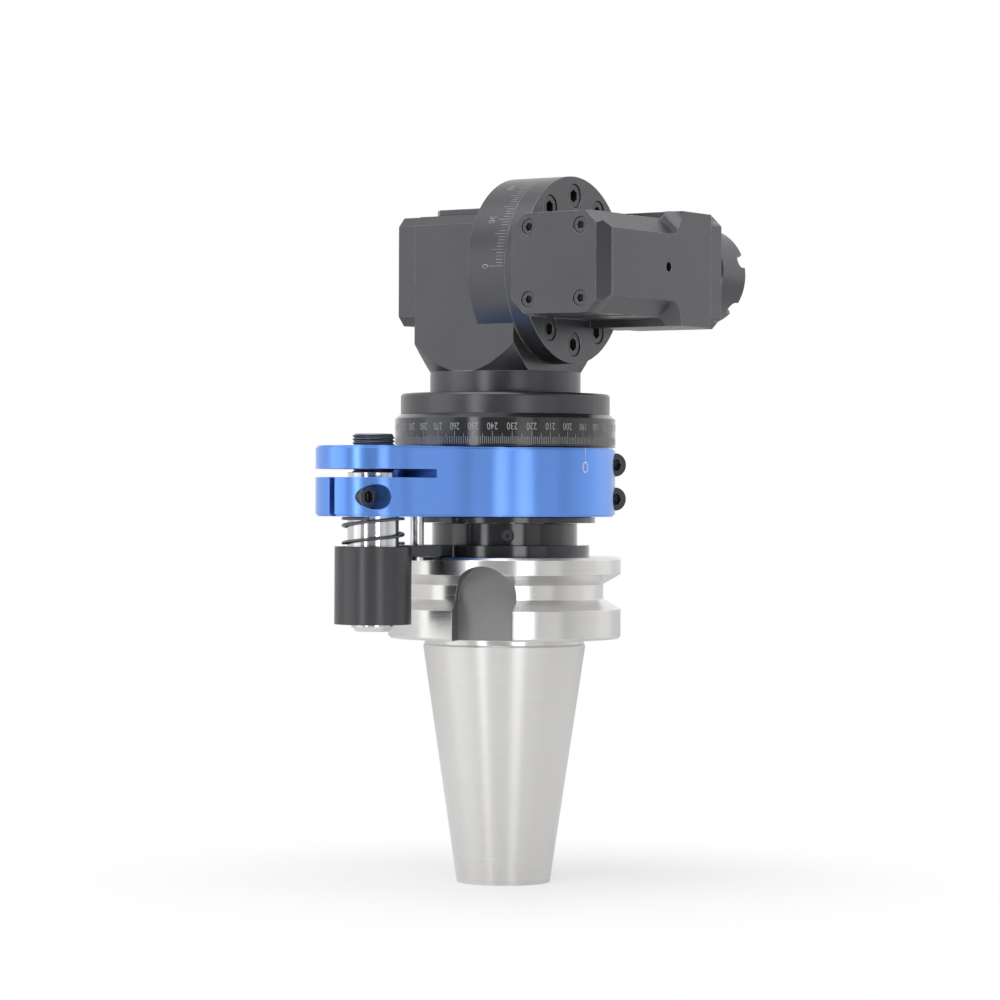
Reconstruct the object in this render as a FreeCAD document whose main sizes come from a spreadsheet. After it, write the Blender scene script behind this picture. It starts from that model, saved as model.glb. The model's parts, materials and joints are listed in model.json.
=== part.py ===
"""Universal angle milling head: a steep-taper shank turns a collet spindle set across it.

Frame: the origin is the centre of the taper's gauge plane, +Z runs up the main axis to the head,
+X is the tilt axis, from the head to the spindle housing, and +Y is the cutter's direction.
All lengths are in millimetres and all angles in degrees.
"""
import FreeCAD, Part
import math
import os
from types import SimpleNamespace
import Sketcher

# Driving dimensions, one cell of the sheet each
SIZES = {
    # Running and seating clearances
    "fit_clearance": 0.02,
    "running_clearance": 0.04,
    "face_clearance": 0.3,
    "hole_clearance": 0.12,
    # Taper shank, size 50, with its flange, vee groove and two drive keyways
    "gauge_radius": 34.925,
    "taper_length": 101.8,
    "taper_slope": 7 / 48,
    "relief_radius": 34.3,
    "relief_height": 0.7,
    "flange_gap": 3.0,
    "flange_radius": 50.0,
    "flange_top": 38.0,
    "flange_chamfer": 1.0,
    "vee_height": 23.2,
    "vee_mouth": 15.0,
    "vee_floor_width": 6.3,
    "vee_floor_radius": 42.5,
    "keyway_width": 25.7,
    "keyway_depth_radius": 35.3,
    "keyway_arch_height": 21.65,
    "keyway_angle": 22.9,
    "pilot_radius": 12.5,
    "pilot_depth": 13.0,
    "pull_thread_radius": 10.4,
    "pull_thread_depth": 60.0,
    "spigot_radius": 24.0,
    "spigot_top": 50.0,
    "socket_floor": 8.0,
    # Lock collar and spacer on the shank's spigot
    "collar_radius": 36.5,
    "collar_top": 43.0,
    "collar_notch_width": 9.0,
    "collar_notch_depth": 4.5,
    "spacer_radius": 31.3,
    "spacer_top": 52.3,
    "set_screw_radius": 2.6,
    "set_screw_length": 6.0,
    "set_screw_height": 47.2,
    "set_screw_angle": 36.0,
    # Drive shaft on the main axis
    "shaft_radius": 17.0,
    "shaft_lower_journal_radius": 15.0,
    "shaft_upper_journal_radius": 12.5,
    "shaft_neck_radius": 12.0,
    "shaft_gear_radius": 10.0,
    "shaft_shoulder_height": 57.8,
    "shaft_nut_radius": 18.0,
    "shaft_nut_width": 5.0,
    "seal_width": 2.5,
    "lower_bearing_outer_radius": 27.5,
    "lower_bearing_width": 13.0,
    "upper_bearing_outer_radius": 23.5,
    "upper_bearing_width": 12.0,
    "upper_bearing_floor": 96.0,
    # Head housing: hub, base disc, neck, block and the fixed tilt disc
    "hub_radius": 37.0,
    "hub_foot": 55.0,
    "hub_bore_radius": 24.5,
    "base_disc_radius": 45.0,
    "base_disc_floor": 98.8,
    "base_disc_top": 107.8,
    "base_disc_fillet": 1.5,
    "neck_radius": 32.4,
    "neck_top": 117.0,
    "flare_slope": 0.72,
    "block_half_width": 25.4,
    "block_half_depth": 32.0,
    "block_rise": 23.1,
    "block_chamfer": 4.0,
    "tilt_height": 160.2,
    "tilt_disc_radius": 39.8,
    "fixed_disc_start": 7.3,
    "gear_chamber_radius": 20.2,
    "gear_chamber_roof": 10.8,
    "gear_chamber_floor": 24.3,
    "shaft_passage_radius": 14.2,
    "cross_chamber_end": 4.0,
    "cross_passage_radius": 10.0,
    "window_half_width": 13.0,
    "window_start": -17.0,
    "window_end": 1.0,
    # Scale ring and the cap that holds the torque ring up
    "scale_ring_radius": 47.5,
    "scale_ring_floor": 85.0,
    "scale_ring_shoulder": 97.0,
    "scale_ring_top_radius": 45.3,
    "cap_radius": 39.0,
    "cap_bore_radius": 20.0,
    "cap_thickness": 2.4,
    "cap_screw_circle": 34.2,
    "cap_screw_count": 6,
    # Covers of the head
    "side_cover_thickness": 8.4,
    "side_cover_height": 46.4,
    "side_cover_top_gap": 0.2,
    "side_cover_chamfer": 4.0,
    "side_screw_inset": 7.0,
    "cover_screw_seat": 4.4,
    "cover_screw_length": 12.0,
    "top_cover_start": -24.2,
    "top_cover_end": 5.6,
    "top_cover_half_depth": 20.8,
    "top_cover_thickness": 2.5,
    "top_cover_chamfer": 4.0,
    "top_screw_inset": 4.0,
    "flat_screw_length": 8.5,
    "pad_height": 0.7,
    "pad_inset": 2.0,
    # Bevel gears, both pairs of equal teeth at a right angle
    "gear_teeth": 24,
    "head_gear_radius": 18.0,
    "head_gear_face": 7.0,
    "spindle_gear_radius": 15.0,
    "spindle_gear_face": 6.0,
    "gear_backlash": 0.14,
    "drive_gear_back": 30.0,
    "drive_gear_hub": 12.8,
    "cross_gear_hub": 11.0,
    "shaft_end_distance": 14.3,
    "cross_shaft_end_distance": 11.0,
    "housing_shoulder": 1.5,
    # Cross shaft on the tilt axis
    "cross_shaft_radius": 7.5,
    "cross_bearing_outer_radius": 14.0,
    "cross_bearing_width": 7.0,
    "side_bearing_start": -31.5,
    "head_bearing_start": 18.5,
    "housing_bearing_start": 27.0,
    # Spindle housing on its tilt disc
    "disc_start": 26.0,
    "disc_thickness": 9.0,
    "tee_slot_radius": 31.5,
    "tee_slot_width": 6.8,
    "tee_slot_lip": 5.5,
    "tee_slot_depth": 4.6,
    "tee_slot_floor_width": 10.4,
    "tee_nut_width": 9.8,
    "tee_nut_thickness": 4.0,
    "clamp_screw_spacing": 36.0,
    "clamp_screw_length": 12.0,
    "clamp_pocket_depth": 10.0,
    "head_recess": 0.4,
    "register_radius": 22.0,
    "register_bore_radius": 17.0,
    "register_length": 4.0,
    "spindle_offset": 58.0,
    "housing_outer_face": 81.0,
    "housing_half_height": 20.9,
    "housing_rear": -42.1,
    "housing_front": 36.5,
    "housing_edge_chamfer": 7.0,
    "housing_rear_chamfer": 4.6,
    "edge_sweep_radius": 8.0,
    "flare_start": 12.8,
    "flare_half_height": 24.2,
    "spindle_chamber_radius": 17.0,
    "coolant_hole_radius": 2.1,
    "coolant_hole_depth": 8.0,
    "coolant_hole_offset": 2.0,
    # Spindle with its bearings, collet and nut
    "rear_bearing_outer_radius": 16.0,
    "rear_bearing_width": 9.0,
    "rear_bearing_start": -34.0,
    "rear_journal_radius": 7.5,
    "spindle_gear_seat_radius": 8.0,
    "spindle_neck_radius": 8.5,
    "front_journal_radius": 15.0,
    "front_bearing_outer_radius": 19.5,
    "front_bearing_width": 7.0,
    "front_bearing_start": 17.0,
    "front_spacer_width": 5.0,
    "front_spacer_wall": 2.6,
    "front_seal_radius": 19.0,
    "front_seal_width": 5.0,
    "spindle_gear_hub": 11.0,
    "spindle_collar_radius": 16.6,
    "spindle_nose_radius": 15.9,
    "spindle_step_radius": 18.5,
    "rear_nut_radius": 12.5,
    "rear_nut_width": 3.5,
    "collet_radius": 13.0,
    "collet_front": 67.5,
    "collet_length": 32.0,
    "collet_head_length": 4.5,
    "collet_bore_radius": 6.0,
    "collet_slit": 1.2,
    "collet_half_angle": 8.0,
    "nut_radius": 21.0,
    "nut_start": 49.5,
    "nut_end": 71.0,
    "nut_slot_width": 6.0,
    "nut_slot_length": 7.0,
    "nut_slot_depth": 4.5,
    "nut_slot_count": 6,
    "nut_slot_angle": -17.5,
    "nut_chamfer": 2.0,
    # Covers of the spindle housing
    "rear_cover_middle": 56.0,
    "rear_cover_half_height": 20.9,
    "rear_cover_thickness": 5.5,
    "rear_cover_chamfer": 6.2,
    "rear_cover_bevel": 2.0,
    "rear_screw_width": 25.4,
    "rear_screw_height": 30.0,
    "front_cover_thickness": 8.5,
    "front_cover_chamfer": 4.5,
    "front_screw_spacing": 37.6,
    # Torque ring, drawn with its stop pin toward -Y and then turned by the arm's angle
    "arm_angle": -9.0,
    "ring_radius": 47.5,
    "ring_floor": 55.3,
    "ring_top": 84.5,
    "ring_edge": 0.8,
    "pin_distance": 80.0,
    "lobe_radius": 24.0,
    "web_hollow": 38.0,
    "slot_floor": 71.4,
    "slot_ceiling": 74.9,
    "slot_end_distance": 66.8,
    "slit_width": 3.0,
    "pin_clamp_distance": 96.0,
    "pin_clamp_height": 63.3,
    "pin_clamp_head": 7.5,
    "pin_clamp_length": 19.0,
    "ring_clamp_distance": 42.5,
    "ring_clamp_angle": 68.0,
    "ring_clamp_lower": 62.9,
    "ring_clamp_upper": 77.6,
    "ring_clamp_head": 15.5,
    "ring_clamp_length": 24.0,
    # Stop pin with its stud, spring, guide rod, sleeve and lock arm
    "pin_radius": 10.75,
    "pin_top": 73.5,
    "pin_tip_radius": 9.0,
    "pin_tip_floor": 7.6,
    "pin_tip_length": 4.6,
    "stud_radius": 8.8,
    "stud_floor": 63.0,
    "stud_top": 89.5,
    "stud_socket_radius": 5.2,
    "spring_radius": 12.5,
    "spring_wire_radius": 0.7,
    "spring_pitch": 6.0,
    "rod_distance": 54.0,
    "rod_radius": 2.85,
    "rod_top": 66.0,
    "rod_head_radius": 3.5,
    "rod_head_height": 1.6,
    "sleeve_radius": 16.0,
    "sleeve_floor": 10.6,
    "sleeve_top": 42.8,
    "arm_floor": 38.6,
    "arm_top": 43.2,
    "arm_width": 18.0,
    "arm_root_reach": 11.5,
    "arm_screw_offset": 5.0,
    "arm_screw_reach": 13.4,
    "arm_shoulder_distance": 44.0,
    "key_width": 8.0,
    "key_gap": 0.4,
    # Socket-head and flat-head screws, by thread radius
    "small_screw": 2.0,
    "large_screw": 3.0,
    "flat_screw": 1.5,
}

HALF = 0.5


class Size:
    """A size with its number and the sheet expression it comes from."""

    def __init__(self, words, number):
        self.words = words
        self.number = number

    def __add__(self, other):
        other = sized(other)
        return Size(f"({self.words} + {other.words})", self.number + other.number)

    def __sub__(self, other):
        other = sized(other)
        return Size(f"({self.words} - {other.words})", self.number - other.number)

    def __mul__(self, other):
        other = sized(other)
        return Size(f"({self.words} * {other.words})", self.number * other.number)

    def __truediv__(self, other):
        other = sized(other)
        return Size(f"({self.words} / {other.words})", self.number / other.number)

    def __neg__(self):
        return Size(f"(0 - {self.words})", -self.number)

    __radd__ = __add__
    __rmul__ = __mul__

    def __rsub__(self, other):
        return sized(other) - self


def sized(value):
    """A Size from a Size or a plain number."""
    if isinstance(value, Size):
        return value
    return Size(repr(float(value)), float(value))


def sine(angle):
    """The sine of an angle in degrees."""
    angle = sized(angle)
    return Size(f"sin({angle.words} * 1 deg)", math.sin(math.radians(angle.number)))


def cosine(angle):
    """The cosine of an angle in degrees."""
    angle = sized(angle)
    return Size(f"cos({angle.words} * 1 deg)", math.cos(math.radians(angle.number)))


def tangent(angle):
    """The tangent of an angle in degrees."""
    angle = sized(angle)
    return Size(f"tan({angle.words} * 1 deg)", math.tan(math.radians(angle.number)))


def root(value):
    """The square root of a size."""
    return Size(f"sqrt({value.words})", math.sqrt(value.number))


doc = FreeCAD.newDocument("AngleMillingHead")
sheet = doc.addObject("Spreadsheet::Sheet", "Sizes")
for line, (alias, number) in enumerate(SIZES.items(), start=1):
    sheet.set(f"A{line}", alias)
    sheet.set(f"B{line}", repr(number))
    sheet.setAlias(f"B{line}", alias)
doc.recompute()
d = SimpleNamespace(**{alias: Size(f"Sizes.{alias}", float(sheet.get(alias))) for alias in SIZES})

# Directions that a piece's own +Z can be turned to
TO_UP = FreeCAD.Rotation()
TO_DOWN = FreeCAD.Rotation(FreeCAD.Vector(1, 0, 0), 180)
TO_RIGHT = FreeCAD.Rotation(FreeCAD.Vector(0, 1, 0), 90)
TO_LEFT = FreeCAD.Rotation(FreeCAD.Vector(0, 1, 0), -90)
TO_FRONT = FreeCAD.Rotation(FreeCAD.Vector(1, 0, 0), -90)
TO_REAR = FreeCAD.Rotation(FreeCAD.Vector(1, 0, 0), 90)
NODES = []


def bind(item, name, value):
    """Ties one property to the sheet."""
    value = sized(value)
    item.setExpression(name, value.words)


def place(item, x=0, y=0, z=0, turn=TO_UP, spin=None):
    """Puts a piece at a bound place, turned by a fixed rotation or about Z by a bound angle."""
    spot = [sized(x), sized(y), sized(z)]
    if spin is not None:
        turn = FreeCAD.Rotation(FreeCAD.Vector(0, 0, 1), sized(spin).number)
    item.Placement = FreeCAD.Placement(FreeCAD.Vector(*[part.number for part in spot]), turn)
    for axis, part in zip("xyz", spot):
        bind(item, f"Placement.Base.{axis}", part)
    if spin is not None:
        bind(item, "Placement.Rotation.Axis.x", 0)
        bind(item, "Placement.Rotation.Axis.y", 0)
        bind(item, "Placement.Rotation.Axis.z", 1)
        bind(item, "Placement.Rotation.Angle", sized(spin) * Size("1 deg", 1))
    return item


def solid(kind, **sizes):
    """A Part primitive with its sizes bound."""
    item = doc.addObject(f"Part::{kind}", kind)
    for name, value in sizes.items():
        bind(item, name, value)
    return item


def rod(radius, start, end, x=0, y=0, z=0, turn=TO_UP):
    """A cylinder along its own Z from start to end, about a line through a bound point."""
    item = solid("Cylinder", Radius=radius, Height=sized(end) - start)
    spot = [sized(x), sized(y), sized(z)]
    along = turn.multVec(FreeCAD.Vector(0, 0, 1))
    for index, share in enumerate(along):
        if round(share):
            spot[index] = spot[index] + sized(start) * round(share)
    return place(item, *spot, turn)


def block(low, high):
    """A box between two bound corners."""
    low = [sized(part) for part in low]
    high = [sized(part) for part in high]
    spans = [top - bottom for bottom, top in zip(low, high)]
    item = solid("Box", Length=spans[0], Width=spans[1], Height=spans[2])
    return place(item, *low)


def fused(*pieces):
    """Pieces made into one solid."""
    item = doc.addObject("Part::MultiFuse", "Fused")
    item.Shapes = list(pieces)
    item.Refine = True
    return item


def cut(base, *tools):
    """A piece with one or more tools taken away."""
    item = doc.addObject("Part::Cut", "Cut")
    item.Base = base
    item.Tool = tools[0] if len(tools) == 1 else fused(*tools)
    item.Refine = True
    return item


def shared(base, tool):
    """What two pieces have in common."""
    item = doc.addObject("Part::MultiCommon", "Shared")
    item.Shapes = [base, tool]
    item.Refine = True
    return item


def group(pieces, x=0, y=0, z=0, turn=TO_UP, spin=None):
    """Pieces kept as separate solids and moved together."""
    item = doc.addObject("Part::Compound", "Group")
    item.Links = list(pieces)
    return place(item, x, y, z, turn, spin)


def node(label, item):
    """Names a finished sub-part."""
    item.Label = label
    NODES.append(item)
    return item


def body_sketch(plane, points):
    """A new body with one closed outline of straight edges, each corner held by two sizes."""
    body = doc.addObject("PartDesign::Body", "Body")
    sketch = body.newObject("Sketcher::SketchObject", f"{body.Name}Outline")
    role = [item for item in body.Origin.OriginFeatures if item.Role == plane][0]
    sketch.AttachmentSupport = [(role, "")]
    sketch.MapMode = "FlatFace"
    points = [(sized(across), sized(along)) for across, along in points]
    count = len(points)
    spots = [FreeCAD.Vector(across.number, along.number, 0) for across, along in points]
    for index in range(count):
        sketch.addGeometry(Part.LineSegment(spots[index], spots[(index + 1) % count]), False)
    rules = [Sketcher.Constraint("Coincident", index, 2, (index + 1) % count, 1) for index in range(count)]
    sketch.addConstraint(rules)
    for index, corner in enumerate(points):
        for kind, value in zip(("DistanceX", "DistanceY"), corner):
            rule = sketch.addConstraint(Sketcher.Constraint(kind, -1, 1, index, 1, value.number))
            sketch.setExpression(f"Constraints[{rule}]", value.words)
    return body, sketch


def turned(points):
    """A body turned about its own Z from an outline of (radius, height) corners."""
    body, sketch = body_sketch("XZ_Plane", points)
    feature = body.newObject("PartDesign::Revolution", f"{body.Name}Turn")
    feature.Profile = sketch
    feature.ReferenceAxis = (sketch, ["V_Axis"])
    feature.Angle = 360
    return body


def plate(points, thickness):
    """A body padded up its own Z from an outline of (x, y) corners."""
    body, sketch = body_sketch("XY_Plane", points)
    feature = body.newObject("PartDesign::Pad", f"{body.Name}Pad")
    feature.Profile = sketch
    bind(feature, "Length", thickness)
    return body


def clipped(half_width, half_depth, chamfer):
    """The corners of a rectangle about its centre with all four corners cut at 45 degrees."""
    near_x = half_width - chamfer
    near_y = half_depth - chamfer
    quarter = [(half_width, near_y), (near_x, half_depth)]
    corners = []
    corners += quarter
    corners += [(-x, y) for x, y in reversed(quarter)]
    corners += [(-x, -y) for x, y in quarter]
    corners += [(x, -y) for x, y in reversed(quarter)]
    return corners


def ring(inner, outer, start, end):
    """A plain ring about its own Z."""
    return turned([(inner, start), (outer, start), (outer, end), (inner, end)])


def circle_spots(radius, angles):
    """Bound (x, y) places on a circle, from angles in degrees counted from +X."""
    return [(radius * cosine(angle), radius * sine(angle)) for angle in angles]


# Proportions of a socket-head screw, by its thread radius
HEAD_RADIUS_RATIO = 5 / 3
HEAD_HEIGHT_RATIO = 2.0
SOCKET_RADIUS_RATIO = 0.96
SOCKET_DEPTH_RATIO = 1.1
FLAT_HEAD_RATIO = 1.85

# Proportions of a drawn bearing's balls, by the wall between its rings
BALL_RATIO = 0.28
BALL_PITCH_RATIO = 2.6

# Proportions of a bevel tooth, by the module, and its pressure angle in degrees
ROOT_DEPTH_RATIO = 1.25
ROOT_OVERLAP_RATIO = 0.3
PRESSURE_ANGLE = 20

# Lean in degrees of the collet's front cone from its own axis
COLLET_FACE_ANGLE = 30


def hex_socket(radius, top):
    """A six-sided key socket sunk from the head's top, sized by the thread radius."""
    depth = radius * SOCKET_DEPTH_RATIO
    tool = solid("Prism", Polygon=6, Circumradius=radius * SOCKET_RADIUS_RATIO, Height=depth + 1)
    return place(tool, 0, 0, sized(top) - depth)


def cap_screw(radius, length):
    """A socket-head screw seated at its own origin, the head toward +Z."""
    head_top = radius * HEAD_HEIGHT_RATIO
    head = rod(radius * HEAD_RADIUS_RATIO, 0, head_top)
    stem = rod(radius, -length, 0)
    return cut(fused(head, stem), hex_socket(radius, head_top))


def cap_screw_hole(radius, length, headroom):
    """The counterbore and stem hole that a socket-head screw needs, seated like the screw."""
    gap = d.hole_clearance
    head = rod(radius * HEAD_RADIUS_RATIO + gap * 2, 0, headroom)
    stem = rod(radius + gap, -length - gap, 1)
    return fused(head, stem)


def flat_screw(radius, length):
    """A countersunk screw with its top at its own origin and its stem toward -Z."""
    wide = radius * FLAT_HEAD_RATIO
    head = turned([(0, radius - wide), (radius, radius - wide), (wide, 0), (0, 0)])
    stem = rod(radius, -length, radius - wide)
    return cut(fused(head, stem), hex_socket(radius * HALF, 0))


def flat_screw_hole(radius, length):
    """The countersink and stem hole that a flat-head screw needs, seated like the screw."""
    gap = d.hole_clearance
    wide = radius * FLAT_HEAD_RATIO + gap
    head = turned([(0, radius - wide), (radius, radius - wide), (wide, 0), (wide, gap), (0, gap)])
    stem = rod(radius + gap, -length - gap, radius - wide + gap)
    return fused(head, stem)


def many(piece, spots, turn=TO_UP):
    """One copy of a piece at each bound (x, y, z) place."""
    return [group([piece], *spot, turn) for spot in spots]


def ball_bearing(inner, outer, width):
    """A deep-groove ball bearing about its own Z, from 0 up to its width."""
    wall = outer - inner
    ball_radius = wall * BALL_RATIO
    pitch_radius = (inner + outer) * HALF
    shoulder = ball_radius * 0.5
    middle = width * HALF
    groove = solid("Torus", Radius1=pitch_radius, Radius2=ball_radius + d.fit_clearance)
    place(groove, 0, 0, middle)
    outer_race = cut(ring(pitch_radius + shoulder, outer, 0, width), groove)
    inner_race = cut(ring(inner, pitch_radius - shoulder, 0, width), groove)
    count = int(math.tau * pitch_radius.number / (ball_radius.number * BALL_PITCH_RATIO))
    ball = solid("Sphere", Radius=ball_radius)
    spots = circle_spots(pitch_radius, [360 / count * index for index in range(count)])
    return [outer_race, inner_race] + many(ball, [(x, y, middle) for x, y in spots])


def along_x(points, start, end):
    """A plate with an outline of (y, z) corners, running along X from start to end."""
    body = plate([(-sized(z), y) for y, z in points], sized(end) - start)
    return place(body, x=start, turn=TO_RIGHT)


def along_y(points, start, end):
    """A plate with an outline of (x, z) corners, running along Y from start to end."""
    body = plate([(x, -sized(z)) for x, z in points], sized(end) - start)
    return place(body, y=start, turn=TO_FRONT)


def moved_corners(points, across, along):
    """An outline moved in its own plane."""
    return [(sized(x) + across, sized(y) + along) for x, y in points]


def round_edge(body, radius, height, fillet):
    """Rounds the body's circular edge of this radius at this height."""
    near = 1e-4
    names = []
    base = body.Tip
    for number, edge in enumerate(base.Shape.Edges, start=1):
        curve = edge.Curve
        if isinstance(curve, Part.Circle) and abs(curve.Radius - radius.number) < near:
            if abs(curve.Center.z - height.number) < near:
                names.append(f"Edge{number}")
    feature = body.newObject("PartDesign::Fillet", f"{body.Name}Fillet")
    feature.Base = (base, names)
    bind(feature, "Radius", fillet)
    return body


# Heights that several pieces share
small_end = -d.taper_length
small_end_radius = d.gauge_radius - d.taper_length * d.taper_slope
lower_bearing_floor = d.shaft_shoulder_height + d.face_clearance
lower_bearing_top = lower_bearing_floor + d.lower_bearing_width
upper_bearing_top = d.upper_bearing_floor + d.upper_bearing_width
disc_face = d.disc_start + d.disc_thickness
chamfer = d.flange_chamfer


def taper_shank():
    """The ground taper with its flange, vee groove, drive keyways and pull-stud thread."""
    groove_low = d.vee_height - d.vee_mouth * HALF
    groove_high = d.vee_height + d.vee_mouth * HALF
    floor_low = d.vee_height - d.vee_floor_width * HALF
    floor_high = d.vee_height + d.vee_floor_width * HALF
    socket = d.shaft_radius + d.fit_clearance
    blank = turned([
        (d.pilot_radius, small_end),
        (small_end_radius, small_end),
        (d.gauge_radius, 0),
        (d.relief_radius, d.relief_height),
        (d.relief_radius, d.flange_gap),
        (d.flange_radius - chamfer, d.flange_gap),
        (d.flange_radius, d.flange_gap + chamfer),
        (d.flange_radius, groove_low),
        (d.vee_floor_radius, floor_low),
        (d.vee_floor_radius, floor_high),
        (d.flange_radius, groove_high),
        (d.flange_radius, d.flange_top - chamfer),
        (d.flange_radius - chamfer, d.flange_top),
        (d.spigot_radius, d.flange_top),
        (d.spigot_radius, d.spigot_top),
        (socket, d.spigot_top),
        (socket, d.socket_floor),
        (0, d.socket_floor),
        (0, small_end + d.pull_thread_depth),
        (d.pull_thread_radius, small_end + d.pull_thread_depth),
        (d.pull_thread_radius, small_end + d.pilot_depth),
        (d.pilot_radius, small_end + d.pilot_depth),
    ])
    half_key = d.keyway_width * HALF
    beyond = d.flange_radius + 1
    straight = block([-half_key, -beyond, d.flange_gap - 1],
                     [half_key, -d.keyway_depth_radius, d.keyway_arch_height])
    arch = rod(half_key, d.keyway_depth_radius, beyond, z=d.keyway_arch_height, turn=TO_REAR)
    keyway = fused(straight, arch)
    keyways = [group([keyway], spin=d.keyway_angle), group([keyway], spin=d.keyway_angle + 180)]
    node("taper_shank", cut(blank, *keyways))


def lock_collar():
    """The collar that the lock arm's key finds when the tool is out of the machine."""
    blank = ring(d.spigot_radius + d.fit_clearance, d.collar_radius, d.flange_top, d.collar_top)
    half_notch = d.collar_notch_width * HALF
    notch = block([-half_notch, -d.collar_radius - 1, d.flange_top - 1],
                  [half_notch, d.collar_notch_depth - d.collar_radius, d.collar_top + 1])
    notches = [group([notch], spin=d.arm_angle), group([notch], spin=d.arm_angle + 180)]
    node("lock_collar", cut(blank, *notches))


def shank_spacer():
    """The spacer above the collar and the three set screws that hold it on the spigot."""
    bore = d.spigot_radius + d.fit_clearance
    blank = ring(bore, d.spacer_radius, d.collar_top, d.spacer_top)
    hole = rod(d.set_screw_radius + d.hole_clearance, d.spigot_radius - 1, d.spacer_radius + 1,
               z=d.set_screw_height, turn=TO_REAR)
    screw = cut(rod(d.set_screw_radius, 0, d.set_screw_length),
                hex_socket(d.set_screw_radius * HALF, d.set_screw_length))
    screw = group([screw], y=-bore, z=d.set_screw_height, turn=TO_REAR)
    angles = [d.set_screw_angle + 120 * index for index in range(3)]
    node("shank_spacer", cut(blank, *[group([hole], spin=angle) for angle in angles]))
    node("spacer_set_screws", group([group([screw], spin=angle) for angle in angles]))


def drive_shaft():
    """The shaft that carries the drive gear, with its lock nut."""
    gear_seat = d.tilt_height - d.drive_gear_back
    node("drive_shaft", turned([
        (0, d.socket_floor),
        (d.shaft_radius, d.socket_floor),
        (d.shaft_radius, d.shaft_shoulder_height),
        (d.shaft_lower_journal_radius, d.shaft_shoulder_height),
        (d.shaft_lower_journal_radius, d.upper_bearing_floor - d.face_clearance),
        (d.shaft_upper_journal_radius, d.upper_bearing_floor - d.face_clearance),
        (d.shaft_upper_journal_radius, upper_bearing_top + d.shaft_nut_width + 1),
        (d.shaft_neck_radius, upper_bearing_top + d.shaft_nut_width + 1),
        (d.shaft_neck_radius, gear_seat),
        (d.shaft_gear_radius, gear_seat),
        (d.shaft_gear_radius, d.tilt_height - d.shaft_end_distance),
        (0, d.tilt_height - d.shaft_end_distance),
    ]))
    nut_floor = upper_bearing_top + d.face_clearance
    node("shaft_lock_nut", ring(d.shaft_upper_journal_radius + d.fit_clearance, d.shaft_nut_radius,
                                nut_floor, nut_floor + d.shaft_nut_width))


def bevel_gear(teeth, pitch, face, back, bore, hub, half_step):
    """A straight bevel gear of a mitre pair, its apex at its own origin and its back toward +Z.

    A tooth stands toward its own +X, or a gap does with half_step set. The teeth are straight
    tapers from the large end to the small end, thinned by the backlash.
    """
    module = 2 * pitch / teeth
    rise = ROOT_DEPTH_RATIO * module
    flank = math.tan(math.radians(PRESSURE_ANGLE))
    slant = math.sqrt(HALF)
    cone = pitch / slant
    shrink = (cone - face) / cone
    along = FreeCAD.Vector(slant, 0, slant)
    outward = FreeCAD.Vector(slant, 0, -slant)
    across = FreeCAD.Vector(0, 1, 0)
    half_tooth = math.pi * module / 4 - d.gear_backlash.number

    def tooth_end(share):
        corners = []
        for height in (-rise - ROOT_OVERLAP_RATIO * module, module):
            half = half_tooth - height * flank
            for side in (-half, half) if height < 0 else (half, -half):
                corners.append((along * cone + outward * height + across * side) * share)
        return Part.makePolygon(corners + corners[:1])

    tooth = Part.makeLoft([tooth_end(shrink), tooth_end(1)], True, True)
    large = (pitch - rise * slant, pitch + rise * slant)
    small = (large[0] * shrink, large[1] * shrink)
    corners = [
        (bore, small[1]),
        small,
        large,
        (hub, large[1] + large[0] - hub),
        (hub, back),
        (bore, back),
    ]
    points = [FreeCAD.Vector(radius, 0, height) for radius, height in corners]
    outline = Part.Face(Part.makePolygon(points + points[:1]))
    blank = outline.revolve(FreeCAD.Vector(), FreeCAD.Vector(0, 0, 1), 360)
    step = 360 / teeth
    start = step * HALF if half_step else 0
    ring_of_teeth = []
    for index in range(teeth):
        copy = tooth.copy()
        copy.rotate(FreeCAD.Vector(), FreeCAD.Vector(0, 0, 1), start + step * index)
        ring_of_teeth.append(copy)
    item = doc.addObject("Part::Feature", "Gear")
    item.Shape = blank.multiFuse(ring_of_teeth)
    return item


def head_gear(back, bore, hub, half_step):
    """One gear of the pair in the head."""
    return bevel_gear(int(d.gear_teeth.number), d.head_gear_radius.number, d.head_gear_face.number,
                      back.number, (bore + d.fit_clearance).number, hub.number, half_step)


def spindle_pair_gear(back, bore, hub, half_step):
    """One gear of the pair in the spindle housing."""
    return bevel_gear(int(d.gear_teeth.number), d.spindle_gear_radius.number, d.spindle_gear_face.number,
                      back.number, (bore + d.fit_clearance).number, hub.number, half_step)


def facing(along, toward):
    """The rotation that turns a piece's own +Z to one direction and its own +X to another."""
    along = FreeCAD.Vector(*along)
    toward = FreeCAD.Vector(*toward)
    return FreeCAD.Rotation(toward, along.cross(toward), along, "ZXY")


def drive_gear():
    """The gear on the drive shaft, under the tilt axis."""
    gear = head_gear(d.drive_gear_back, d.shaft_gear_radius, d.drive_gear_hub, False)
    node("drive_gear", group([gear], z=d.tilt_height, turn=facing((0, 0, -1), (-1, 0, 0))))


def cross_shaft():
    """The shaft on the tilt axis with a gear at each end of its free length."""
    start = d.side_bearing_start + d.face_clearance
    end = d.spindle_offset - d.cross_shaft_end_distance
    node("cross_shaft", rod(d.cross_shaft_radius, start, end, z=d.tilt_height, turn=TO_RIGHT))
    back = -(d.side_bearing_start + d.cross_bearing_width + d.face_clearance)
    gear = head_gear(back, d.cross_shaft_radius, d.cross_gear_hub, True)
    node("cross_gear_in", group([gear], z=d.tilt_height, turn=facing((-1, 0, 0), (0, 0, -1))))
    back = d.spindle_offset - disc_face - d.housing_shoulder - d.face_clearance
    gear = spindle_pair_gear(back, d.cross_shaft_radius, d.cross_gear_hub, False)
    node("cross_gear_out", group([gear], x=d.spindle_offset, z=d.tilt_height,
                                 turn=facing((-1, 0, 0), (0, -1, 0))))


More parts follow.
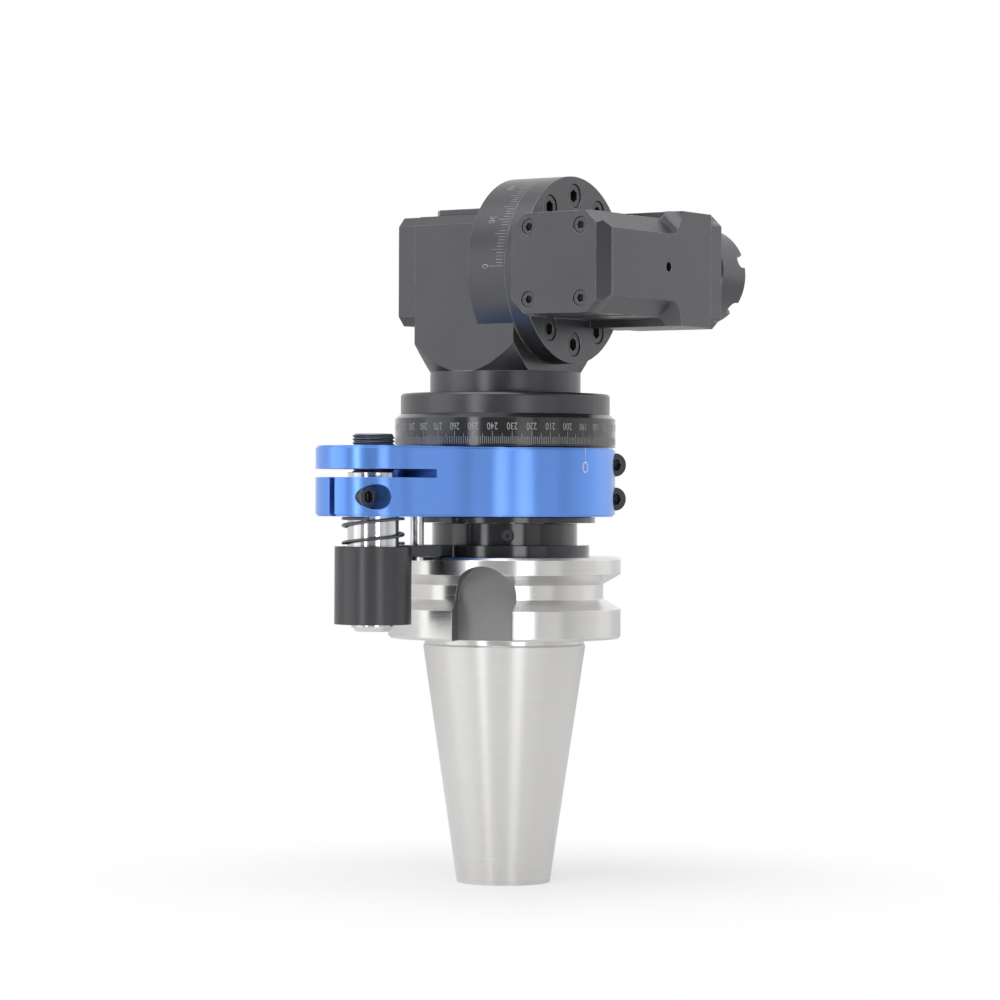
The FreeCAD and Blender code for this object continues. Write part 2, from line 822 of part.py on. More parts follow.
def bearing_node(label, journal, outer, width, **spot):
    """A ball bearing as one sub-part of separate solids."""
    node(label, group(ball_bearing(journal + d.running_clearance, outer, width), **spot))


def head_bearings():
    """The bearings and the seal that the head holds."""
    bearing_node("main_bearing_lower", d.shaft_lower_journal_radius, d.lower_bearing_outer_radius,
                 d.lower_bearing_width, z=lower_bearing_floor)
    bearing_node("main_bearing_upper", d.shaft_upper_journal_radius, d.upper_bearing_outer_radius,
                 d.upper_bearing_width, z=d.upper_bearing_floor)
    bearing_node("cross_bearing_left", d.cross_shaft_radius, d.cross_bearing_outer_radius,
                 d.cross_bearing_width, x=d.side_bearing_start, z=d.tilt_height, turn=TO_RIGHT)
    bearing_node("cross_bearing_middle", d.cross_shaft_radius, d.cross_bearing_outer_radius,
                 d.cross_bearing_width, x=d.head_bearing_start, z=d.tilt_height, turn=TO_RIGHT)
    node("shaft_seal", ring(d.shaft_radius + d.running_clearance, d.lower_bearing_outer_radius,
                            d.hub_foot, d.hub_foot + d.seal_width))


block_top = d.tilt_height + d.block_rise
side_cover_face = -d.block_half_width - d.side_cover_thickness
side_cover_middle = block_top - d.side_cover_top_gap - d.side_cover_height * HALF
top_cover_floor = block_top + d.pad_height
top_cover_middle = (d.top_cover_start + d.top_cover_end) * HALF


def side_cover_spots(height):
    """The four screw places of the side cover, seated at one X."""
    across = d.block_half_depth - d.side_screw_inset
    along = d.side_cover_height * HALF - d.side_screw_inset
    return [(height, side * across, side_cover_middle + up * along)
            for side in (-1, 1) for up in (-1, 1)]


def top_cover_spots(height):
    """The four screw places of the top cover, seated at one Z."""
    across = (d.top_cover_end - d.top_cover_start) * HALF - d.top_screw_inset
    deep = d.top_cover_half_depth - d.top_screw_inset
    return [(top_cover_middle + side * across, front * deep, height)
            for side in (-1, 1) for front in (-1, 1)]


def cap_spots(height):
    """The screw places of the hub's end cap."""
    count = int(d.cap_screw_count.number)
    angles = [360 / count * index for index in range(count)]
    return [(x, y, height) for x, y in circle_spots(d.cap_screw_circle, angles)]


def tilt_ring(middle, width, start, end):
    """A ring about the tilt axis, by its middle radius and its width."""
    body = ring(middle - width * HALF, middle + width * HALF, start, end)
    return place(body, z=d.tilt_height, turn=TO_RIGHT)


def head_housing():
    """The casting that holds both shafts: hub, base disc, neck, block and fixed tilt disc."""
    stem = turned([
        (0, d.hub_foot),
        (d.hub_radius, d.hub_foot),
        (d.hub_radius, d.base_disc_floor),
        (d.base_disc_radius, d.base_disc_floor),
        (d.base_disc_radius, d.base_disc_top),
        (d.neck_radius, d.base_disc_top),
        (d.neck_radius, d.neck_top),
        (0, d.neck_top),
    ])
    doc.recompute()
    round_edge(stem, d.base_disc_radius, d.base_disc_top, d.base_disc_fillet)
    half_deep = d.block_half_depth
    edge = d.block_chamfer
    corners = [
        (half_deep, d.neck_top),
        (half_deep, block_top - edge),
        (half_deep - edge, block_top),
        (edge - half_deep, block_top),
        (-half_deep, block_top - edge),
        (-half_deep, d.neck_top),
    ]
    column = along_x(corners, -d.block_half_width, d.block_half_width)
    reach = root(d.block_half_width * d.block_half_width + half_deep * half_deep) + 1
    flare_top = d.neck_top + (reach - d.neck_radius) / d.flare_slope
    flare = turned([
        (0, d.neck_top),
        (d.neck_radius, d.neck_top),
        (reach, flare_top),
        (reach, block_top + 1),
        (0, block_top + 1),
    ])
    disc = rod(d.tilt_disc_radius, d.fixed_disc_start, d.disc_start, z=d.tilt_height, turn=TO_RIGHT)
    pad_deep = d.top_cover_half_depth - d.pad_inset
    pad = block([d.top_cover_start + d.pad_inset, -pad_deep, block_top - 1],
                [d.fixed_disc_start + 1, pad_deep, top_cover_floor])
    outside = fused(stem, shared(column, flare), disc, pad)

    low = d.hub_foot - 1
    gear_floor = d.tilt_height - d.gear_chamber_floor
    right = d.disc_start + 1
    register_floor = d.disc_start - d.register_length - d.face_clearance
    axis = {"z": d.tilt_height, "turn": TO_RIGHT}
    seat = d.cross_bearing_outer_radius + d.fit_clearance
    lip_start = d.disc_start - d.tee_slot_lip
    window = block([d.window_start, -d.window_half_width, d.tilt_height],
                   [d.window_end, d.window_half_width, top_cover_floor + 1])
    tools = [
        rod(d.lower_bearing_outer_radius + d.fit_clearance, low, lower_bearing_top),
        rod(d.hub_bore_radius, low, d.upper_bearing_floor),
        rod(d.upper_bearing_outer_radius + d.fit_clearance, low, upper_bearing_top),
        rod(d.gear_chamber_radius, low, upper_bearing_top + d.shaft_nut_width + 1),
        rod(d.shaft_passage_radius, low, gear_floor + 1),
        rod(d.gear_chamber_radius, gear_floor, d.tilt_height - d.gear_chamber_roof),
        rod(d.gear_chamber_radius, -d.block_half_width - 1, d.cross_chamber_end, **axis),
        rod(d.cross_passage_radius, 0, right, **axis),
        rod(seat, d.head_bearing_start, right, **axis),
        rod(d.register_radius + d.running_clearance, register_floor, right, **axis),
        tilt_ring(d.tee_slot_radius, d.tee_slot_width, lip_start - 1, right),
        tilt_ring(d.tee_slot_radius, d.tee_slot_floor_width, lip_start - d.tee_slot_depth, lip_start),
        window,
    ]
    cover_hole = cap_screw_hole(d.small_screw, d.cover_screw_length, d.cover_screw_length)
    tools += many(cover_hole, side_cover_spots(side_cover_face + d.cover_screw_seat), TO_LEFT)
    top_hole = flat_screw_hole(d.flat_screw, d.flat_screw_length)
    tools += many(top_hole, top_cover_spots(top_cover_floor + d.top_cover_thickness))
    tools += many(top_hole, cap_spots(d.hub_foot - d.cap_thickness), TO_DOWN)
    node("head_housing", cut(outside, *tools))


def scale_ring():
    """The ring with the swivel scale, on the hub between the torque ring and the base disc."""
    bore = d.hub_radius + d.fit_clearance
    node("scale_ring", turned([
        (bore, d.scale_ring_floor),
        (d.scale_ring_radius, d.scale_ring_floor),
        (d.scale_ring_radius, d.scale_ring_shoulder),
        (d.scale_ring_top_radius, d.base_disc_floor),
        (bore, d.base_disc_floor),
    ]))


def hub_end_cap():
    """The cap under the hub, which holds the torque ring and the seal up."""
    cap_floor = d.hub_foot - d.cap_thickness
    blank = ring(d.cap_bore_radius, d.cap_radius, cap_floor, d.hub_foot)
    hole = flat_screw_hole(d.flat_screw, d.flat_screw_length)
    node("hub_end_cap", cut(blank, *many(hole, cap_spots(cap_floor), TO_DOWN)))
    screw = flat_screw(d.flat_screw, d.flat_screw_length)
    node("hub_cap_screws", group(many(screw, cap_spots(cap_floor), TO_DOWN)))


def side_cover():
    """The cover over the cross shaft's blind end, which seats its left bearing."""
    outline = clipped(d.block_half_depth, d.side_cover_height * HALF, d.side_cover_chamfer)
    outline = moved_corners(outline, 0, side_cover_middle)
    blank = along_x(outline, side_cover_face, -d.block_half_width)
    seat = rod(d.cross_bearing_outer_radius + d.fit_clearance, d.side_bearing_start,
               1 - d.block_half_width, z=d.tilt_height, turn=TO_RIGHT)
    spots = side_cover_spots(side_cover_face + d.cover_screw_seat)
    hole = cap_screw_hole(d.small_screw, d.cover_screw_length, d.cover_screw_length)
    node("side_cover", cut(blank, seat, *many(hole, spots, TO_LEFT)))
    screw = cap_screw(d.small_screw, d.cover_screw_length)
    node("side_cover_screws", group(many(screw, spots, TO_LEFT)))


def top_cover():
    """The plate over the window through which the gears are set."""
    half_width = (d.top_cover_end - d.top_cover_start) * HALF
    outline = clipped(half_width, d.top_cover_half_depth, d.top_cover_chamfer)
    blank = place(plate(outline, d.top_cover_thickness), x=top_cover_middle, z=top_cover_floor)
    spots = top_cover_spots(top_cover_floor + d.top_cover_thickness)
    hole = flat_screw_hole(d.flat_screw, d.flat_screw_length)
    node("top_cover", cut(blank, *many(hole, spots)))
    screw = flat_screw(d.flat_screw, d.flat_screw_length)
    node("top_cover_screws", group(many(screw, spots)))


def on_ring(label, *pieces):
    """Names a sub-part drawn with the stop pin toward -Y and turns it to the arm's angle."""
    node(label, group(pieces, spin=d.arm_angle))


def ring_slice(inset, start, end):
    """The full outline of the torque ring between two heights: the ring, the lobe and their web.

    The web's sides run straight back from the lobe and end in hollows that meet the ring.
    """
    side = d.lobe_radius - inset
    middle_x = d.lobe_radius + d.web_hollow
    reach = d.ring_radius + d.web_hollow
    middle_y = -root(reach * reach - middle_x * middle_x)
    share = (d.ring_radius - inset) / reach
    right = [(middle_x * share, middle_y * share), (side, middle_y), (side, -d.pin_distance)]
    outline = right + [(-x, y) for x, y in reversed(right)]
    web = place(plate(outline, sized(end) - start), z=start)
    hollows = [rod(d.web_hollow + inset, start, end, x=x, y=middle_y) for x in (-middle_x, middle_x)]
    return fused(rod(d.ring_radius - inset, start, end),
                 rod(side, start, end, y=-d.pin_distance), cut(web, *hollows))


def ring_clamp_spots():
    """The places of the two screws that close the ring on the hub, before their turn."""
    return [(d.ring_clamp_distance, -d.ring_clamp_head, height)
            for height in (d.ring_clamp_lower, d.ring_clamp_upper)]


def ring_clamp(piece):
    """Copies of a piece at both ring clamp screws."""
    return group(many(piece, ring_clamp_spots(), TO_REAR), spin=d.ring_clamp_angle)


def torque_ring():
    """The split clamp ring whose lobe holds the stop pin."""
    edge = d.ring_edge
    middle = ring_slice(0, d.ring_floor + edge, d.ring_top - edge)
    core = ring_slice(edge, d.ring_floor, d.ring_top)
    low = d.ring_floor - 1
    high = d.ring_top + 1
    beyond = d.pin_distance + d.lobe_radius + 1
    half_slit = d.slit_width * HALF
    bore = rod(d.hub_radius + d.running_clearance, low, high)
    pin_bore = rod(d.pin_radius + d.fit_clearance, low, d.slot_ceiling)
    stud_bore = rod(d.stud_radius + d.fit_clearance, low, high)
    jaw_slot = block([-d.ring_radius, -beyond, d.slot_floor],
                     [d.ring_radius, -d.slot_end_distance, d.slot_ceiling])
    pin_slit = block([-half_slit, -beyond, low], [half_slit, -d.pin_distance, d.slot_floor + 1])
    ring_slit = block([0, -half_slit, low], [d.ring_radius + 1, half_slit, high])
    clamp_hole = cap_screw_hole(d.large_screw, d.pin_clamp_length, d.lobe_radius)
    ring_hole = cap_screw_hole(d.large_screw, d.ring_clamp_length, d.lobe_radius)
    rod_hole = rod(d.rod_radius + d.fit_clearance, low, d.rod_top, y=-d.rod_distance)
    tools = [
        bore,
        place(pin_bore, y=-d.pin_distance, z=low),
        place(stud_bore, y=-d.pin_distance, z=low),
        jaw_slot,
        pin_slit,
        group([ring_slit], spin=d.ring_clamp_angle),
        group([clamp_hole], d.pin_clamp_head, -d.pin_clamp_distance, d.pin_clamp_height, TO_RIGHT),
        ring_clamp(ring_hole),
        rod_hole,
    ]
    on_ring("torque_ring", cut(fused(middle, core), *tools))


def clamp_screws():
    """The screws that close the ring on the hub and the lobe on the stop pin."""
    on_ring("ring_clamp_screws", ring_clamp(cap_screw(d.large_screw, d.ring_clamp_length)))
    screw = cap_screw(d.large_screw, d.pin_clamp_length)
    on_ring("pin_clamp_screw", group([screw], d.pin_clamp_head, -d.pin_clamp_distance,
                                     d.pin_clamp_height, TO_RIGHT))


def stop_pin():
    """The pin that enters the machine's stop block, and the threaded stud above it."""
    tip_chamfer = d.flange_chamfer * 2
    shoulder = d.pin_tip_floor + d.pin_tip_length
    stud_bore = d.stud_radius + d.fit_clearance
    pin = turned([
        (0, d.pin_tip_floor),
        (d.pin_tip_radius - tip_chamfer, d.pin_tip_floor),
        (d.pin_tip_radius, d.pin_tip_floor + tip_chamfer),
        (d.pin_tip_radius, shoulder),
        (d.pin_radius, shoulder),
        (d.pin_radius, d.pin_top),
        (stud_bore, d.pin_top),
        (stud_bore, d.stud_floor),
        (0, d.stud_floor),
    ])
    on_ring("stop_pin", place(pin, y=-d.pin_distance))
    stud = turned([
        (0, d.stud_floor),
        (d.stud_radius, d.stud_floor),
        (d.stud_radius, d.stud_top - d.flange_chamfer),
        (d.stud_radius - d.flange_chamfer, d.stud_top),
        (0, d.stud_top),
    ])
    stud = cut(stud, hex_socket(d.stud_socket_radius, d.stud_top))
    on_ring("stop_pin_stud", group([stud], y=-d.pin_distance))


def guide_rod():
    """The rod that keeps the lock arm in line, with the head that stops its fall."""
    head_top = d.arm_floor - d.face_clearance
    guide = turned([
        (0, head_top - d.rod_head_height),
        (d.rod_head_radius, head_top - d.rod_head_height),
        (d.rod_head_radius, head_top),
        (d.rod_radius, head_top),
        (d.rod_radius, d.rod_top),
        (0, d.rod_top),
    ])
    on_ring("guide_rod", place(guide, y=-d.rod_distance))


def stop_spring():
    """The spring round the stop pin, between the sleeve and the ring."""
    wire = d.spring_wire_radius
    low = d.arm_top + d.face_clearance + wire
    high = d.ring_floor - d.face_clearance - wire
    path = solid("Helix", Pitch=d.spring_pitch, Height=high - low, Radius=d.spring_radius)
    path.SegmentLength = 1
    section = solid("Circle", Radius=wire)
    place(section, d.spring_radius, turn=TO_REAR)
    coil = doc.addObject("Part::Sweep", "Coil")
    coil.Sections = [section]
    coil.Spine = path
    coil.Solid = True
    coil.Frenet = True
    on_ring("stop_spring", group([coil], y=-d.pin_distance, z=low))


def lock_sleeve():
    """The sleeve that the machine pushes up, notched for the lock arm."""
    blank = ring(d.pin_radius + d.running_clearance, d.sleeve_radius, d.sleeve_floor, d.sleeve_top)
    notch = block([-d.sleeve_radius, d.arm_root_reach, d.arm_floor],
                  [d.sleeve_radius, d.sleeve_radius + 1, d.sleeve_top + 1])
    hole = flat_screw_hole(d.flat_screw, d.flat_screw_length)
    blank = cut(place(blank, y=-d.pin_distance), group([notch], y=-d.pin_distance),
                *many(hole, arm_screw_spots()))
    on_ring("lock_sleeve", blank)


def arm_screw_spots():
    """The places of the two screws that hold the arm on the sleeve."""
    return [(side * d.arm_screw_offset, d.arm_screw_reach - d.pin_distance, d.arm_top)
            for side in (-1, 1)]


def lock_arm():
    """The arm whose key points at the lock collar, with its two screws."""
    root_y = d.arm_root_reach - d.pin_distance
    half_arm = d.arm_width * HALF
    half_key = d.key_width * HALF
    key_tip = -d.collar_radius - d.key_gap
    half = [(half_arm, root_y), (half_arm, -d.arm_shoulder_distance - half_arm * HALF),
            (half_key, -d.arm_shoulder_distance), (half_key, key_tip)]
    outline = half + [(-x, y) for x, y in reversed(half)]
    blank = place(plate(outline, d.arm_top - d.arm_floor), z=d.arm_floor)
    hole = flat_screw_hole(d.flat_screw, d.flat_screw_length)
    slide = rod(d.rod_radius + d.running_clearance, d.arm_floor - 1, d.arm_top + 1, y=-d.rod_distance)
    clear = rod(d.pin_radius + d.face_clearance, d.arm_floor - 1, d.arm_top + 1, y=-d.pin_distance)
    on_ring("lock_arm", cut(blank, slide, clear, *many(hole, arm_screw_spots())))
    screw = flat_screw(d.flat_screw, d.flat_screw_length)
    on_ring("lock_arm_screws", group(many(screw, arm_screw_spots())))


housing_start = disc_face
housing_end = d.housing_outer_face
spindle_line = {"x": d.spindle_offset, "z": d.tilt_height, "turn": TO_FRONT}
clamp_seat = disc_face - d.large_screw * HEAD_HEIGHT_RATIO - d.head_recess


def clamp_spots(depth):
    """The six places of the tilt clamp screws, three above and three below the housing."""
    step = d.clamp_screw_spacing
    angles = [side * 90 + step * index for side in (-1, 1) for index in (-1, 0, 1)]
    return [(depth, d.tee_slot_radius * cosine(angle), d.tilt_height + d.tee_slot_radius * sine(angle))
            for angle in angles]


def corner_spots(middle, width, height, depth):
    """Four screw places on a rectangle at the tilt axis's height, seated at one Y."""
    return [(middle + side * width * HALF, depth, d.tilt_height + up * height * HALF)
            for side in (-1, 1) for up in (-1, 1)]


def rear_spots():
    """The screw places of the rear cover."""
    return corner_spots(d.rear_cover_middle, d.rear_screw_width, d.rear_screw_height, rear_cover_seat)


def front_spots():
    """The screw places of the front cover."""
    return corner_spots(d.spindle_offset, d.front_screw_spacing, d.front_screw_spacing, front_cover_seat)


def housing_box(half_height, start, end):
    """A plain length of the spindle housing."""
    return block([housing_start - 1, start, d.tilt_height - half_height],
                 [housing_end, end, d.tilt_height + half_height])


def edge_prism(up, start, end):
    """The corner taken off a long outer edge of the housing, above or below."""
    high = d.tilt_height + d.housing_half_height * up
    cut_back = d.housing_edge_chamfer
    corners = [
        (housing_end + 1, high - (cut_back + 1) * up),
        (housing_end + 1, high + up),
        (housing_end - cut_back - 1, high + up),
    ]
    return along_y(corners, start, end)


def disc_side_prism(up):
    """The corner taken off the housing next to the tilt disc, behind the disc's reach."""
    high = d.tilt_height + d.housing_half_height * up
    cut_back = d.rear_cover_chamfer
    reach = root(d.tilt_disc_radius * d.tilt_disc_radius - d.housing_half_height * d.housing_half_height)
    corners = [
        (housing_start - 1, high - (cut_back + 1) * up),
        (housing_start - 1, high + up),
        (housing_start + cut_back + 1, high + up),
    ]
    return along_y(corners, d.housing_rear - 1, -reach - d.face_clearance)


def edge_sweep(up):
    """The hollow that a cutter leaves where a long edge chamfer runs into the flare."""
    radius = d.edge_sweep_radius
    cut_back = d.housing_edge_chamfer
    high = d.tilt_height + d.housing_half_height * up
    top = d.tilt_height + d.flare_half_height * up
    inner = housing_end - cut_back
    start = d.flare_start - radius
    corners = [(housing_end, high - cut_back * up), (housing_end, top), (inner, top), (inner, high)]
    offset = radius * root(sized(HALF)) - cut_back * HALF
    across = FreeCAD.Rotation(FreeCAD.Vector(0, 1, 0), 90 + 45 * up)
    cutter = rod(radius, -radius * 2, radius * 2, housing_end + offset, start, high + offset * up, across)
    return cut(along_y(corners, start, d.flare_start), cutter)


def spindle_housing():
    """The casting on the rotating tilt disc, which holds the spindle across the cross shaft."""
    axis = {"z": d.tilt_height, "turn": TO_RIGHT}
    narrow = housing_box(d.housing_half_height, d.housing_rear, d.flare_start + 1)
    corners = [edge_prism(up, d.housing_rear - 1, d.flare_start) for up in (-1, 1)]
    corners += [disc_side_prism(up) for up in (-1, 1)]
    narrow = cut(narrow, *corners)
    flare = housing_box(d.flare_half_height, d.flare_start, d.housing_front)
    disc = rod(d.tilt_disc_radius, d.disc_start, disc_face, **axis)
    register = rod(d.register_radius, d.disc_start - d.register_length, d.disc_start + 1, **axis)
    outside = fused(narrow, flare, disc, register, edge_sweep(1), edge_sweep(-1))

    seat = d.cross_bearing_outer_radius + d.fit_clearance
    seat_end = d.housing_bearing_start + d.cross_bearing_width
    shoulder_end = disc_face + d.housing_shoulder
    line = spindle_line
    chamber = d.spindle_chamber_radius
    front_seat = d.front_bearing_outer_radius + d.fit_clearance
    rear_seat = d.rear_bearing_outer_radius + d.fit_clearance
    tools = [
        rod(d.register_bore_radius, d.disc_start - d.register_length - 1, d.disc_start, **axis),
        rod(seat, d.disc_start - 1, seat_end, **axis),
        rod(d.cross_passage_radius, d.disc_start, shoulder_end + 1, **axis),
        rod(chamber - d.face_clearance, shoulder_end, d.spindle_offset, **axis),
        rod(chamber, d.rear_bearing_start, d.front_bearing_start, **line),
        rod(front_seat, d.front_bearing_start, d.housing_front + 1, **line),
        rod(rear_seat, d.housing_rear - 1, d.rear_bearing_start + d.rear_bearing_width, **line),
    ]
    length = d.clamp_screw_length
    clamp_hole = cap_screw_hole(d.large_screw, length, housing_end - clamp_seat + 1)
    clamp_pocket = cap_screw_hole(d.large_screw, length, d.clamp_pocket_depth)
    spots = clamp_spots(clamp_seat)
    tools += many(clamp_hole, [spot for spot in spots if spot[1].number < d.flare_start.number],
                  TO_RIGHT)
    tools += many(clamp_pocket, [spot for spot in spots if spot[1].number > d.flare_start.number],
                  TO_RIGHT)
    cover_hole = cap_screw_hole(d.small_screw, d.cover_screw_length, d.cover_screw_length)
    tools += many(cover_hole, rear_spots(), TO_REAR)
    tools += many(cover_hole, front_spots(), TO_FRONT)
    coolant_hole = rod(d.coolant_hole_radius, housing_end - d.coolant_hole_depth, housing_end + 1,
                       y=d.coolant_hole_offset, **axis)
    node("spindle_housing", cut(cut(outside, *tools), coolant_hole))


def tilt_clamps():
    """The six tilt clamp screws and the nuts that they pull in the head's annular slot."""
    length = d.clamp_screw_length
    node("tilt_clamp_screws", group(many(cap_screw(d.large_screw, length), clamp_spots(clamp_seat),
                                         TO_RIGHT)))
    lip_start = d.disc_start - d.tee_slot_lip
    half = d.tee_nut_width * HALF
    high = lip_start - d.face_clearance
    reach = block([-half, -half, 0], [half, half, d.tee_nut_thickness])
    ring_stock = ring(d.tee_slot_radius - half, d.tee_slot_radius + half, 0, d.tee_nut_thickness)
    hole = rod(d.large_screw + d.hole_clearance, -1, d.tee_nut_thickness + 1, x=d.tee_slot_radius)
    nut = cut(shared(ring_stock, group([reach], x=d.tee_slot_radius)), hole)
    step = d.clamp_screw_spacing
    angles = [side * 90 + step * index for side in (-1, 1) for index in (-1, 0, 1)]
    nuts = [group([nut], spin=angle) for angle in angles]
    node("tee_nuts", group(nuts, x=high - d.tee_nut_thickness, z=d.tilt_height, turn=TO_RIGHT))


rear_cover_face = d.housing_rear - d.rear_cover_thickness
rear_cover_seat = rear_cover_face + d.small_screw * HEAD_HEIGHT_RATIO + d.head_recess
front_cover_face = d.housing_front + d.front_cover_thickness
front_cover_seat = front_cover_face - d.small_screw * HEAD_HEIGHT_RATIO - d.head_recess


def rear_bevel(depth, x, z, lean):
    """A wedge that takes an edge off the rear cover's face, leaned about the spindle's direction."""
    reach = d.rear_cover_half_height
    wedge = place(plate([(1, -1), (1, depth + 1), (-depth - 1, -1)], reach * 2), z=-reach)
    turn = FreeCAD.Rotation(FreeCAD.Vector(0, 1, 0), lean)
    return group([wedge], x, rear_cover_face, z, turn)


def rear_cover():
    """The plate behind the spindle with its four screws."""
    near = d.rear_cover_chamfer
    far = d.housing_edge_chamfer
    high = d.rear_cover_half_height
    outline = [
        (housing_start, near - high),
        (housing_start + near, -high),
        (housing_end - far, -high),
        (housing_end, far - high),
        (housing_end, high - far),
        (housing_end - far, high),
        (housing_start + near, high),
        (housing_start, high - near),
    ]
    blank = along_y(moved_corners(outline, 0, d.tilt_height), rear_cover_face, d.housing_rear)
    middle = housing_end - far * HALF
    bevels = [rear_bevel(d.housing_rear_chamfer, housing_end, d.tilt_height, 0)]
    for up in (-1, 1):
        height = d.tilt_height + (high - far * HALF) * up
        bevels.append(rear_bevel(d.rear_cover_bevel, middle, height, -45 * up))
    hole = cap_screw_hole(d.small_screw, d.cover_screw_length, d.cover_screw_length)
    node("rear_cover", cut(blank, *bevels, *many(hole, rear_spots(), TO_REAR)))
    screw = cap_screw(d.small_screw, d.cover_screw_length)
    node("rear_cover_screws", group(many(screw, rear_spots(), TO_REAR)))


def front_cover():
    """The plate round the spindle's nose with its four screws and the seal."""
    half_width = (housing_end - housing_start) * HALF
    outline = clipped(half_width, d.flare_half_height, d.front_cover_chamfer)
    outline = moved_corners(outline, d.spindle_offset, d.tilt_height)
    blank = along_y(outline, d.housing_front, front_cover_face)
    spots = front_spots()
    hole = cap_screw_hole(d.small_screw, d.cover_screw_length, d.cover_screw_length)
    bore = rod(d.spindle_collar_radius + d.face_clearance, d.housing_front - 1, front_cover_face + 1,
               **spindle_line)
    seal_bore = rod(d.front_seal_radius + d.fit_clearance, d.housing_front - 1,
                    d.housing_front + d.front_seal_width, **spindle_line)
    node("front_cover", cut(blank, bore, seal_bore, *many(hole, spots, TO_FRONT)))
    screw = cap_screw(d.small_screw, d.cover_screw_length)
    node("front_cover_screws", group(many(screw, spots, TO_FRONT)))
    seal = ring(d.spindle_collar_radius + d.running_clearance, d.front_seal_radius, 0, d.front_seal_width)
    node("spindle_seal", group([seal], d.spindle_offset, d.housing_front, d.tilt_height, TO_FRONT))


def housing_bearings():
    """The bearings that the spindle housing holds."""
    bearing_node("cross_bearing_right", d.cross_shaft_radius, d.cross_bearing_outer_radius,
                 d.cross_bearing_width, x=d.housing_bearing_start, z=d.tilt_height, turn=TO_RIGHT)
    bearing_node("spindle_bearing_rear", d.rear_journal_radius, d.rear_bearing_outer_radius,
                 d.rear_bearing_width, y=d.rear_bearing_start, **spindle_line)
    start = d.front_bearing_start
    bearing_node("spindle_bearing_inner", d.front_journal_radius, d.front_bearing_outer_radius,
                 d.front_bearing_width, y=start, **spindle_line)
    spacer_start = start + d.front_bearing_width
    spacer_end = spacer_start + d.front_spacer_width
    inner = d.front_bearing_outer_radius - d.front_spacer_wall
    spacer = ring(inner, d.front_bearing_outer_radius, spacer_start, spacer_end)
    node("spindle_bearing_spacer", group([spacer], d.spindle_offset, 0, d.tilt_height, TO_FRONT))
    bearing_node("spindle_bearing_outer", d.front_journal_radius, d.front_bearing_outer_radius,
                 d.front_bearing_width, y=spacer_end, **spindle_line)


def along_spindle(body):
    """Lays a piece turned about its own Z on the spindle line."""
    return place(body, d.spindle_offset, 0, d.tilt_height, TO_FRONT)


collet_rear = d.collet_front - d.collet_length
collet_shoulder = d.collet_front - d.collet_head_length
collet_rear_radius = d.collet_radius - (collet_shoulder - collet_rear) * tangent(d.collet_half_angle)


def output_spindle():
    """The spindle with its collet seat, its gear and its rear nut."""
    gap = d.face_clearance
    gear_back = -(d.rear_bearing_start + d.rear_bearing_width + gap)
    gear_front = -d.spindle_gear_radius * HALF
    bearing_end = d.front_bearing_start + d.front_bearing_width * 2 + d.front_spacer_width
    seat_gap = d.fit_clearance
    mouth = d.collet_radius + seat_gap
    throat = collet_rear_radius + seat_gap
    cavity = collet_rear - d.front_spacer_width
    body = turned([
        (0, d.rear_bearing_start - d.rear_nut_width - gap),
        (d.rear_journal_radius, d.rear_bearing_start - d.rear_nut_width - gap),
        (d.rear_journal_radius, -gear_back),
        (d.spindle_gear_seat_radius, -gear_back),
        (d.spindle_gear_seat_radius, gear_front),
        (d.spindle_neck_radius, gear_front),
        (d.spindle_neck_radius, d.front_bearing_start - gap),
        (d.front_journal_radius, d.front_bearing_start - gap),
        (d.front_journal_radius, bearing_end + gap),
        (d.spindle_collar_radius, bearing_end + gap),
        (d.spindle_collar_radius, front_cover_face + gap),
        (d.spindle_step_radius, front_cover_face + gap),
        (d.spindle_step_radius, d.nut_start - gap),
        (d.spindle_nose_radius, d.nut_start - gap),
        (d.spindle_nose_radius, collet_shoulder - gap),
        (mouth, collet_shoulder - gap),
        (throat, collet_rear),
        (throat, cavity),
        (0, cavity),
    ])
    node("output_spindle", along_spindle(body))
    gear = spindle_pair_gear(gear_back, d.spindle_gear_seat_radius, d.spindle_gear_hub, True)
    node("spindle_gear", group([gear], d.spindle_offset, 0, d.tilt_height,
                               facing((0, -1, 0), (-1, 0, 0))))
    nut_start = d.rear_bearing_start - d.rear_nut_width - gap
    node("rear_lock_nut", along_spindle(ring(d.rear_journal_radius + d.fit_clearance, d.rear_nut_radius,
                                             nut_start, nut_start + d.rear_nut_width)))


def collet():
    """The slit spring collet."""
    head = d.collet_front - d.collet_head_length
    front_taper = d.collet_head_length * HALF
    bore = d.collet_bore_radius
    blank = turned([
        (bore, collet_rear),
        (collet_rear_radius, collet_rear),
        (d.collet_radius, head),
        (d.collet_radius, head + front_taper),
        (d.collet_radius - front_taper * tangent(COLLET_FACE_ANGLE), d.collet_front),
        (bore, d.collet_front),
    ])
    half_slit = d.collet_slit * HALF
    reach = d.collet_radius + 1
    front_cut = block([0, -half_slit, collet_rear + d.collet_head_length],
                      [reach, half_slit, d.collet_front + 1])
    rear_cut = block([0, -half_slit, collet_rear - 1],
                     [reach, half_slit, d.collet_front - d.collet_head_length * 2])
    quarters = [90 * index for index in range(4)]
    slits = [group([front_cut], spin=angle) for angle in quarters]
    slits += [group([rear_cut], spin=angle + 45) for angle in quarters]
    node("collet", group([cut(blank, *slits)], d.spindle_offset, 0, d.tilt_height, TO_FRONT))


